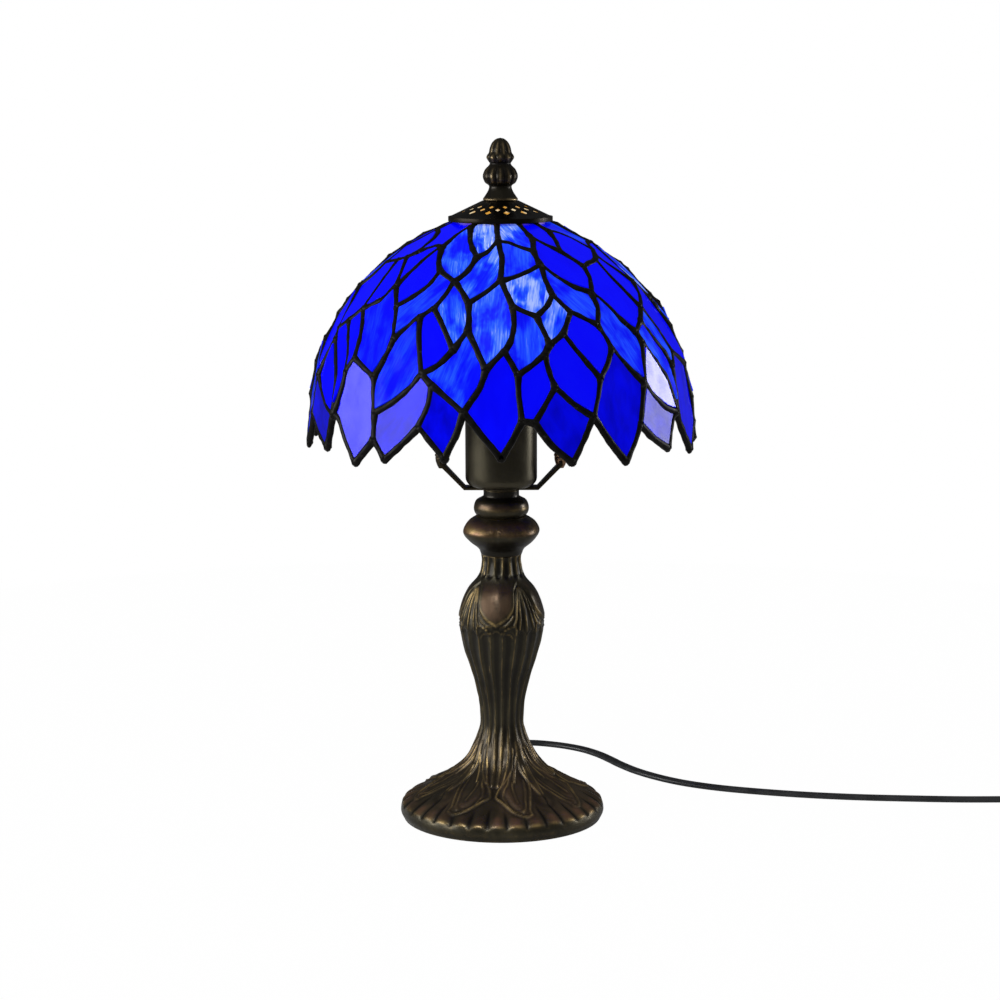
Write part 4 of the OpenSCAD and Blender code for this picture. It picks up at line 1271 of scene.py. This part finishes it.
FINIAL_FOOT = box_mm("finial")[0][2]
FINIAL = [[9.1, 0], [9.05, 0.7], [8.2, 1.9], [6.6, 4.4], [5.9, 6.4], [6.2, 7.6], [8, 9], [9.1, 12.2],
          [8, 15.6], [6, 17.8], [5.5, 18.9], [6.2, 19.9], [7.3, 21.8], [6.9, 23.2], [6, 24.4],
          [5.4, 27], [4.2, 29.6], [2.2, 31.4], [0.15, 32]]


def finial_repeats(degrees):
    """Across the twelve ribs of the bulb, the ten beads and the ten flutes of the tip."""
    return scallop(degrees, 30, 15), scallop(degrees, 36, 18), scallop(degrees, 36, 0)


def finial_relief(degrees, height):
    """Ribbed bulb, a ring of beads above it and an acorn tip with flutes."""
    h = height - FINIAL_FOOT
    rib, bead, flute = finial_repeats(degrees)
    bulb = band(h, 7.5, 9.5, 15.5, 17.8)
    beads = hump(h, 21.8, 1.5)
    tip = band(h, 23.4, 24.6, 28.5, 31.4)
    return bulb * (0.85 * rib ** 0.6 - 0.8) + beads * (0.9 * bead ** 0.7 - 0.75) - tip * 0.5 * (
        1 - flute ** 0.5)


def finial_marks(degrees, height):
    """Rubbed ribs, beads, flutes and foot, and dark between them and in the neck."""
    h = height - FINIAL_FOOT
    rib, bead, flute = finial_repeats(degrees)
    bulb = band(h, 8, 10, 15, 18)
    tip = band(h, 23, 25, 28, 31)
    beads = hump(h, 21.8, 1.3)
    gold = np.maximum(0.6 * bulb * rib ** 14, 0.8 * beads * bead ** 8)
    gold = np.maximum(gold, 0.6 * tip * flute ** 12)
    gold = np.maximum(gold, 0.9 * hump(h, 0.5, 0.5))
    dark = np.maximum(bulb * (1 - rib) ** 1.5, beads * (1 - bead) ** 1.5)
    dark = np.maximum(dark, hump(h, 18.9, 1.1))
    return gold, 0.15 * gold, np.maximum(dark, tip * (1 - flute) ** 1.5)


modelled_turning("acorn_finial", [[r, h + FINIAL_FOOT] for r, h in FINIAL], 0.15, 144, finial_relief,
                 finial_marks, dark_casting, "finial", "dark_bronze", "finial", fine=6)


# ---------- cap, its rim and what shows through its vents ----------

cap_low, cap_high = box_mm("vented_cap")
CAP_R = cap_high[0]
CAP_RIM = cap_low[2]
CAP_NECK_R = 9.5
softened("vented_cap", "pierced_cap", cap_bronze, 0.1)


def make_cap_rim():
    """Rolled edge round the foot of the cap."""
    half_wide, half_tall = 0.95, 1.05
    turn = np.radians(np.arange(0, 360, 22.5))
    outline = np.stack([CAP_R - half_wide + half_wide * np.cos(turn),
                        CAP_RIM + half_tall + half_tall * np.sin(turn)], 1)
    turned("cap_rolled_rim", outline, 120, cap_bronze, "shade", "dark_bronze")


make_cap_rim()


def make_liner():
    """Pressed brass cone close under the cap, so that every vent shows metal, not a dark gap."""
    rim_r, rim_z = CAP_R - 0.8, CAP_RIM + 2
    neck_z = cap_high[2]
    slope = (neck_z - rim_z) / (rim_r - CAP_NECK_R)
    gap, thick = 0.35, 0.4
    top = [[r, neck_z - (r - CAP_NECK_R) * slope - gap] for r in np.linspace(12.6, 23, 12)]
    below = [[r, z - thick] for r, z in top[::-1]]
    edge_z = top[-1][1]
    outline = top + [[24.4, edge_z - 1.9], [24.0, edge_z - 2.1]] + below
    turned("brass_liner", outline, 120, vent_brass, "shade", "brass", ["crown_liner"])


make_liner()
softened("crown_ring", "brass_crown_ring", lacquered_brass, 0.2)


# ---------- harp, its saddle, ferrules and stud ----------

ferrule_low, ferrule_high = box_mm("ferrule_right")
HARP_X = (ferrule_low[0] + ferrule_high[0]) / 2
FERRULE_FOOT = ferrule_low[2]
HARP_R = 1.7
HARP_TOP = box_mm("harp")[1][2] - HARP_R
HARP_WIDE = box_mm("harp")[1][0] - HARP_R
HARP_HALF = [[HARP_X, 202], [HARP_X, 212], [HARP_X, 221], [HARP_X, 225], [HARP_WIDE - 2.5, 236],
             [HARP_WIDE, 256], [HARP_WIDE - 3, 280], [26, 303], [13, 317], [5, HARP_TOP - 0.6],
             [0, HARP_TOP]]
ROD_TURN = np.radians(np.arange(0, 360, 24))
round_rod = np.stack([np.cos(ROD_TURN), np.sin(ROD_TURN)], 1)


def make_harp():
    """Bent wire bow that carries the shade's stud, over the bulb from one leg to the other."""
    half = catmull_rom([[x, 0, z] for x, z in HARP_HALF], 8)
    path = np.vstack([half * (-1, 1, 1), half[-2::-1]])
    _, side, up = frames_along(path, (0, 1, 0))
    points, faces = swept(path, round_rod * HARP_R, side, up)
    outward(new_piece("harp_wire", points, faces, satin_bronze, "base", "dark_bronze", ["harp"]))


make_harp()


def make_ferrule(name, material, slot):
    """Sliding sleeve with a rolled collar at its foot and a soft flare at its head."""
    low, high = box_mm(name)
    x, z0, z1 = (low[0] + high[0]) / 2, low[2], high[2]
    outline = [[1.95, z0], [3.3, z0], [3.6, z0 + 0.3], [3.6, z0 + 1.1], [3.3, z0 + 1.5], [3.0, z0 + 1.8],
               [2.85, z0 + 5], [2.95, z1 - 2.2], [3.1, z1 - 1.2], [3.1, z1 - 0.4], [2.9, z1], [1.95, z1]]
    turned(name + "_sleeve", outline, 48, material, name, slot, [name], (x, 0, 0))


make_ferrule("ferrule_left", satin_bronze, "dark_bronze")
make_ferrule("ferrule_right", copper_bronze, "copper_bronze")
softened("harp_saddle", "bent_saddle_strap", satin_bronze, 0.45, segments=3)


def make_shoulder(name, x, material, slot):
    """Tapered shoulder at the end of the strap, on which a ferrule stands."""
    top = FERRULE_FOOT - 0.05
    outline = [[1.75, top], [3.3, top], [3.4, top - 0.6], [3.2, top - 2.4], [2.5, top - 4.6],
               [1.7, top - 6.0], [1.7, top - 6.2], [0.9, top - 6.2], [0.9, top]]
    turned(name, outline, 48, material, "base", slot, shift=(x, 0, 0))


make_shoulder("left_shoulder", -HARP_X, satin_bronze, "dark_bronze")
make_shoulder("right_shoulder", HARP_X, copper_bronze, "copper_bronze")
softened("harp_stud", "threaded_stud", lacquered_brass, 0.35)


def thread_on(name, radius, low, high, pitch, depth, material, slot, columns):
    """A rolled screw thread: a thin skin that winds round a plain rod or shell."""
    rows = max(int((high - low) / pitch * 8), 12)
    z, a = np.meshgrid(np.linspace(low, high, rows), np.arange(columns) * math.tau / columns,
                       indexing="ij")
    fade = band(z, low, low + pitch, high - pitch, high)
    crest = radius + depth * fade * (0.5 + 0.5 * np.cos(math.tau * (z - low) / pitch - a))
    points, faces = thin_wall(crest, radius - 0.25, a, z)
    outward(new_piece(name, points, faces, material, "base", slot))


STUD_TOP = box_mm("harp_stud")[1][2]
thread_on("stud_thread", 2.15, STUD_TOP - 10.5, STUD_TOP - 0.3, 0.9, 0.22, lacquered_brass, "brass", 32)


# ---------- lampholder ----------

LAMP_PITCH = 3.63


def make_cup():
    """Drawn metal cup with rounded foot and a rolled lip."""
    low, high = box_mm("holder_cup")
    z0, z1, r = low[2], high[2], high[0]
    bend = 5
    foot = [[r - bend + bend * math.sin(a), z0 + bend - bend * math.cos(a)]
            for a in np.radians(np.arange(0, 91, 9))]
    inner = [[r - bend + (bend - 1) * math.sin(a), z0 + bend - (bend - 1) * math.cos(a)]
             for a in np.radians(np.arange(90, -1, -9))]
    lip = [[r - 0.5 + 0.5 * math.cos(a), z1 - 0.5 + 0.5 * math.sin(a)]
           for a in np.radians(np.arange(0, 181, 20))]
    side = [[r, z] for z in np.linspace(z0 + 8, z1 - 3, 9)]
    outline = [[5.2, z0]] + foot + side + lip + inner + [[5.2, z0 + 1]]
    turned("drawn_cup", outline, 128, cup_bronze, "base", "dark_bronze", ["holder_cup"])


make_cup()


def make_screw_shell():
    """Rolled brass thread inside the lampholder."""
    low, high = box_mm("holder_screw_shell")
    rows, columns, half_wall = 72, 96, 0.15
    z, a = np.meshgrid(np.linspace(low[2], high[2], rows), np.arange(columns) * math.tau / columns,
                       indexing="ij")
    middle = 13.3 + 0.14 * np.cos(math.tau * z / LAMP_PITCH - a)
    points, faces = thin_wall(middle + half_wall, middle - half_wall, a, z)
    outward(new_piece("rolled_screw_shell", points, faces, lacquered_brass, "base", "brass",
                      ["holder_screw_shell"]))


make_screw_shell()
softened("holder_insulator", "porcelain_insulator", old_ivory, 0.5)
softened("centre_contact", "sprung_contact", lacquered_brass, 0.25)
softened("holder_locknut", "hexagon_locknut", zinc_plate, 0.4)


def slotted_heads(name, node, places, radius, top, high, material, slot):
    """Round screw heads with a cut slot, standing on the given points [x, y]."""
    half_slot = 0.16 * radius
    outline = [[radius, top - high], [radius, top - 0.35 * high], [0.82 * radius, top - 0.08 * high],
               [0.5 * radius, top], [0.05, top]]
    outline = np.vstack([catmull_rom(outline, 5), [[0.05, top - high]]])
    parts = []
    for k, (x, y) in enumerate(places):
        points, faces = lathe(outline, 40)
        slot_turn = math.radians(30 + 50 * k)
        across = points[:, 0] * math.cos(slot_turn) + points[:, 1] * math.sin(slot_turn)
        cut = (np.abs(across) < half_slot) & (points[:, 2] > top - 0.7 * high)
        points[cut, 2] = top - 0.6 * high
        parts.append((points + (x, y, 0), faces.tolist()))
    outward(new_piece(name, *joined(parts), material, "base", slot, [node]))


slotted_heads("terminal_screw_heads", "terminal_screws", [[-11.5, 0], [11.5, 0]], 2.6,
              box_mm("terminal_screws")[1][2], 2.6, lacquered_brass, "brass")


# ---------- bulb ----------

def make_bulb():
    """Pear-shaped glass with a wall of one millimetre."""
    low, high = box_mm("bulb_glass")
    radius, neck, top = high[0], low[2], high[2]
    middle = top - radius
    belly = [[radius * math.cos(a), middle + radius * math.sin(a)]
             for a in np.radians(np.arange(-32, 89, 6))]
    inside = [[(radius - 1) * math.cos(a), middle + (radius - 1) * math.sin(a)]
              for a in np.radians(np.arange(88, -33, -6))]
    outline = ([[12.6, neck], [12.8, neck + 3], [13.6, neck + 7], [15.4, neck + 12]] + belly
               + [[0.05, top], [0.05, top - 1]] + inside
               + [[14.6, neck + 12.4], [12.6, neck + 7.2], [11.8, neck + 3], [11.6, neck]])
    turned("blown_bulb", outline, 72, bulb_clear, "bulb", "bulb_glass", ["bulb_glass"])


def make_bulb_cap():
    """Nickelled cap with a rolled thread and a domed end."""
    low, high = box_mm("bulb_cap")
    z0, z1 = low[2], high[2]
    line = catmull_rom([[3.9, z0], [4.6, z0 + 0.6], [8, z0 + 3.4], [12, z0 + 6], [12.5, z0 + 7.4],
                        [12.6, z0 + 12], [12.6, z1 - 3], [12.7, z1 - 0.6], [12.4, z1]], 9)
    line = respaced(line, np.linspace(0, walked(line)[-1], 78))

    def thread(degrees, radius, height):
        fade = band(height, z0 + 7, z0 + 10, z1 - 4, z1 - 1.5)
        wave = 0.26 * fade * np.cos(math.tau * height / LAMP_PITCH - np.radians(degrees))
        return np.where(radius > 1, wave, 0)

    points, faces = lathe(np.vstack([line, [[0.05, z1], [0.05, z0]]]), 96, relief=thread)
    outward(new_piece("bulb_screw_cap", points, faces, bright_nickel, "bulb", "bulb_cap_metal",
                      ["bulb_cap"]))


make_bulb()
make_bulb_cap()
softened("bulb_filament", "lamp_filaments", phosphor, 0.3)


# ---------- what comes out of the foot, and the foot's underside ----------

def make_strain_relief():
    """Tapered sleeve with soft rings cut round it."""
    low, high = box_mm("strain_relief")
    length = high[1] - low[1]
    ring_pitch, ring_deep = 2.6, 0.35
    at = np.linspace(0, length, 90)
    taper = 4 - 0.9 * at / length
    rings = ring_deep * (0.5 - 0.5 * np.cos(math.tau * at / ring_pitch)) * smooth_step(2.5, 4, at)
    radius = taper - rings * smooth_step(length, length - 2, at)
    radius[0] = radius[0] - 0.3
    radius[-1] = radius[-1] - 0.4
    outline = [[0.05, 0]] + np.stack([radius, at], 1).tolist() + [[0.05, length]]
    points, faces = lathe(outline, 40)
    points = np.stack([points[:, 0], points[:, 2] + low[1], points[:, 1] + (low[2] + high[2]) / 2], 1)
    outward(new_piece("ribbed_strain_relief", points, faces, black_plastic, "base", "black_rubber",
                      ["strain_relief"]))


make_strain_relief()
softened("cord_bushing", "snap_in_bushing", black_plastic, 0.35)


def make_felt():
    """Felt disc with a soft pressed edge and a little unevenness."""
    low, high = box_mm("felt_pad")
    radius, thick = high[0], high[2] - low[2]
    inner = [[r, low[2]] for r in np.linspace(0.3, radius - 1.2, 26)]
    edge = [[radius - 1 + math.cos(a), low[2] + thick / 2 + 0.5 * thick * math.sin(a)]
            for a in np.radians(np.arange(-75, 76, 25))]
    outline = inner + edge + [[radius - 1.4, high[2]], [0.3, high[2]]]
    points, faces = lathe(outline, 120)
    lumps = np.array([abs(noise.noise(Vector((x * 0.12, y * 0.12, 2)))) for x, y, _ in points])
    lower_side = points[:, 2] < low[2] + 0.3
    points[lower_side, 2] += 0.18 * lumps[lower_side]
    outward(new_piece("felt_disc", points, faces, felt, "base", "felt", ["felt_pad"]))


make_felt()
softened("base_nut", "hexagon_base_nut", zinc_plate, 0.5)
softened("base_washer", "plain_washer", zinc_plate, 0.3)
softened("ballast_ring", "iron_ballast", rough_iron, 0.9)
softened("base_plate", "closing_plate", zinc_plate, 0.3)
TUBE_TOP = box_mm("threaded_tube")[1][2]
softened("threaded_tube", "lamp_tube", zinc_plate, 0.3)
thread_on("tube_thread_foot", 4.75, 8.2, 24, 1.0, 0.24, zinc_plate, "steel", 40)
thread_on("tube_thread_head", 4.75, 176, TUBE_TOP - 0.2, 1.0, 0.24, zinc_plate, "steel", 40)


# ---------- switch on the cord ----------

softened("switch_base", "switch_lower_shell", black_plastic, 0.9, segments=3)
softened("switch_cover", "switch_upper_shell", black_plastic, 0.9, segments=3)
softened("switch_rocker", "switch_rocker_cap", rocker_plastic, 0.4, segments=3)
softened("switch_axle", "switch_pin", zinc_plate, 0.2)
screw_low, screw_high = box_mm("switch_screws")
SCREW_R = 2.2
SCREW_Y = (screw_low[1] + screw_high[1]) / 2
slotted_heads("switch_screw_heads", "switch_screws",
              [[screw_low[0] + SCREW_R, SCREW_Y], [screw_high[0] - SCREW_R, SCREW_Y]],
              SCREW_R, screw_high[2], 0.9, zinc_plate, "steel")


def make_tie():
    """Flat strap round the coil's turns, with its ends held in a small buckle."""
    low, high = box_mm("cord_tie")
    middle = (low[1:] + high[1:]) / 2
    half_y, half_z = (high[1:] - low[1:]) / 2 - (0.6, 0.1)
    loop = rounded_ring(half_y, half_z, 3) + middle
    inner = middle + (loop - middle) * [1 - 0.9 / half_y, 1 - 0.2 / half_z]
    x0, x1 = low[0] + 0.5, high[0] - 0.5
    strap = [np.column_stack([np.full(len(loop), x), ring])
             for x, ring in ((x0, inner), (x0, loop), (x1, loop), (x1, inner))]
    strap_faces = grid_faces(len(strap), len(loop), close_rows=True).tolist()
    buckle = rounded_box([low[0], high[1] - 2, middle[1] - 2.4], [high[0], high[1], middle[1] + 2.4],
                         0.9, 0.5)
    outward(new_piece("coil_strap", *joined([(np.vstack(strap), strap_faces), buckle]), tie_plastic,
                      "base", "black_plastic", ["cord_tie"]))


make_tie()

# The last of the cord's points but one, and the way that the plug points
PLUG_AT = (404, -19, 7.9)
PLUG_TURN = -16


def at_plug(points):
    """Points [distance from the cord, across, up] of the plug, in the lamp's frame."""
    turn = Matrix.Rotation(math.radians(PLUG_TURN), 3, "Z")
    return np.array([tuple(turn @ Vector(p)) for p in points]) + PLUG_AT


def make_plug():
    """Two-pin plug body with a waist, grip ribs and a flat face; lofted in rounded sections."""
    # [distance from the cord, half width, half height, corner]
    sections = [[0, 5.2, 4.2, 2.5], [0.8, 6.4, 5.2, 3], [4, 9.4, 6.9, 4], [8, 11.4, 7.6, 4.5],
                [13, 12, 7.8, 4.8], [18, 11.2, 7.7, 4.6], [22, 10.2, 7.1, 4.2], [25, 9.2, 6.0, 3.6],
                [27, 9.0, 5.6, 3.2], [31.6, 9.0, 5.5, 3.2], [32.6, 8.9, 5.4, 3], [33, 8.4, 4.9, 2.8]]
    rib_pitch, rib_deep = 2.2, 0.35
    rings = []
    for at, wide, tall, corner in catmull_rom(sections, 5):
        rib = rib_deep * (0.5 - 0.5 * math.cos(math.tau * at / rib_pitch)) * float(band(at, 7, 9, 18, 20))
        ring = rounded_ring(wide, tall, corner)
        on_side = np.abs(ring[:, 0]) > 0.8 * wide
        ring[:, 0] -= rib * np.sign(ring[:, 0]) * on_side
        rings.append(np.column_stack([np.full(len(ring), at), ring]))
    points, faces = stacked(rings)
    outward(new_piece("moulded_plug", at_plug(points), faces, black_plastic, "base", "black_rubber",
                      ["plug_body"]))


def make_pins():
    """Flat blades with chamfered tips and a hole near the end of each."""
    off_middle, half_thick, half_tall = 6.35, 0.75, 3.15
    hole_at, hole_r, tip_from_hole, chamfer = 46.5, 1.6, 3.5, 0.45
    parts = []
    for side in (-1, 1):
        y0, y1 = side * off_middle - half_thick, side * off_middle + half_thick
        hole, edge = [], []
        for a in np.radians(np.arange(0, 360, 15)):
            hole.append([hole_at + hole_r * math.cos(a), hole_r * math.sin(a)])
            reach = min(half_tall / max(abs(math.sin(a)), 1e-6),
                        tip_from_hole / max(abs(math.cos(a)), 1e-6))
            edge.append([hole_at + reach * math.cos(a), reach * math.sin(a)])
        rings = [[(x, y, z) for x, z in ring]
                 for y, ring in ((y0, hole), (y0, edge), (y1, edge), (y1, hole))]
        for ring in rings[1:3]:
            for k, (x, y, z) in enumerate(ring):
                if x > hole_at + 3:
                    ring[k] = (x, y + (chamfer if y == y0 else -chamfer), z * 0.86)
        parts.append((at_plug(np.vstack(rings)), grid_faces(4, len(hole), close_rows=True).tolist()))
        shank, faces = rounded_box([32.6, y0, -half_tall], [43.2, y1, half_tall], 0.3, 0.25, 3)
        parts.append((at_plug(shank), faces))
    outward(new_piece("plug_blades", *joined(parts), bright_nickel, "base", "brass", ["plug_pins"],
                      smooth=False))


make_plug()
make_pins()


def make_internal_lead():
    """Two cloth-covered wires twisted together, from the bushing up the tube to the lampholder."""
    # along the hollow foot, then up the tube's axis
    route = catmull_rom([EXIT_ROUTE[0], [0, 40, EXIT_Z], [0, 12, 4.5], [0, 5, 4.8], [0, 1.6, 6.2],
                         [0, 0.3, 9], [0, 0, 14], [0, 0, 60], [0, 0, 120], [0, 0, 188.6]], 8)
    path = respaced(route, np.linspace(0, walked(route)[-1], 240))
    _, side, up = frames_along(path, (1, 0, 0))
    turn_length, wire_r, off_middle = 14, 0.52, 0.55
    twist = walked(path)[:, None] * math.tau / turn_length
    parts = []
    for half in (0, math.pi):
        core = path + off_middle * (np.cos(twist + half) * side + np.sin(twist + half) * up)
        parts.append(swept(core, round_rod * wire_r, side, up))
    outward(new_piece("twisted_lead", *joined(parts), brown_cloth, "base", "black_rubber",
                      ["internal_lead"]))


make_internal_lead()


# ---------- studio ----------

def soft_box(name, place, wide, tall, power, look_at):
    """Rectangular soft light, sizes in metres and power in watts."""
    data = bpy.data.lights.new(name, "AREA")
    data.shape = "RECTANGLE"
    data.size = wide
    data.size_y = tall
    data.energy = power
    light = bpy.data.objects.new(name, data)
    bpy.context.scene.collection.objects.link(light)
    light.location = place
    light.rotation_mode = "QUATERNION"
    light.rotation_quaternion = (Vector(look_at) - Vector(place)).to_track_quat("-Z", "Y")
    return light


def make_floor():
    """Pale floor that runs into the backdrop, so that no line shows between them."""
    mesh = bpy.data.meshes.new("floor")
    half = 6.0
    # How far the floor gives way to plain white, near the lamp: seen by the eye, and mirrored in the lamp
    seen_share, mirrored_share = 0.99, 0.35
    mesh.from_pydata([(-half, -half, 0), (half, -half, 0), (half, half, 0), (-half, half, 0)], [],
                     [(0, 1, 2, 3)])
    floor = bpy.data.objects.new("floor", mesh)
    bpy.context.scene.collection.objects.link(floor)
    paper = bpy.data.materials.new("paper_floor")
    paper.use_nodes = True
    tree = paper.node_tree
    w = Wiring(tree)
    shader = tree.nodes["Principled BSDF"]
    shader.inputs["Roughness"].default_value = 0.9
    shader.inputs["Specular IOR Level"].default_value = 0.1
    fibre = w.noise(w.place(), 40.0)
    w.join(w.mix(fibre, (0.86, 0.86, 0.86, 1), (0.88, 0.88, 0.88, 1)), shader.inputs["Base Color"])
    far = w.node("VectorMath", {"operation": "LENGTH"}, Vector=w.place()).outputs["Value"]
    seen = w.node("LightPath").outputs["Is Camera Ray"]
    white = w.node("Emission", Color=(1, 1, 1, 1), Strength=1.0).outputs["Emission"]
    dim = w.node("Emission", Color=(1, 1, 1, 1), Strength=0.1).outputs["Emission"]
    glow = w.node("MixShader")
    w.join(seen, glow.inputs[0])
    w.join(dim, glow.inputs[1])
    w.join(white, glow.inputs[2])
    blend = w.node("MixShader")
    unseen = w.math("SUBTRACT", 1, seen)
    nearby = w.math("ADD", w.math("MULTIPLY", seen, seen_share), w.math("MULTIPLY", unseen, mirrored_share))
    w.join(w.math("MAXIMUM", w.ramp(far, 0.3, 0.75), nearby), blend.inputs[0])
    w.join(shader.outputs[0], blend.inputs[1])
    w.join(glow.outputs[0], blend.inputs[2])
    w.join(blend.outputs[0], tree.nodes["Material Output"].inputs["Surface"])
    mesh.materials.append(paper)


def make_backdrop():
    """White to the eye, and to the lamp a dim room that is brighter above and behind."""
    world = bpy.data.worlds.new("studio")
    bpy.context.scene.world = world
    world.use_nodes = True
    w = Wiring(world.node_tree)
    split = w.node("SeparateXYZ", Vector=w.node("TexCoord").outputs["Generated"]).outputs
    above = w.ramp(split["Z"], -0.1, 0.9, 0.13, 0.3)
    behind = w.ramp(split["Y"], -0.1, 0.8, 0.7, 0.3)
    room = w.math("MULTIPLY", above, behind)
    seen = w.node("LightPath").outputs["Is Camera Ray"]
    strength = w.math("ADD", seen, w.math("MULTIPLY", w.math("SUBTRACT", 1.0, seen), room))
    w.join(strength, world.node_tree.nodes["Background"].inputs["Strength"])
    world.node_tree.nodes["Background"].inputs["Color"].default_value = (1, 1, 1, 1)


make_floor()
make_backdrop()
soft_box("left_box", (-1.26, -0.31, 0.43), 1.1, 0.6, 12, (0, 0, 0.25))
soft_box("right_box", (1.14, 0.36, 0.39), 0.3, 0.14, 2.4, (0.05, 0, 0.243))
soft_box("low_right_box", (1.16, 0.32, 0.12), 0.4, 0.2, 1.6, (0.05, 0, 0.226))
front_fill = soft_box("front_top_box", (-0.2, -1.1, 1.9), 1.0, 0.8, 18, (0, 0, 0.2))
front_fill.visible_glossy = False

# The next one lights only the castings, because the glass would mirror it
castings = bpy.data.collections.new("lit_castings")
for name in ("cast_base", "knop_of_four_lobes", "neck_collar", "bent_saddle_strap"):
    castings.objects.link(bpy.data.objects[name])
front_key = soft_box("front_key_box", (-0.45, -0.9, 1.1), 0.5, 0.5, 9, (0, 0, 0.12))
front_key.light_linking.receiver_collection = castings

bpy.context.scene.view_settings.view_transform = "Standard"
bpy.context.scene.view_settings.look = "None"
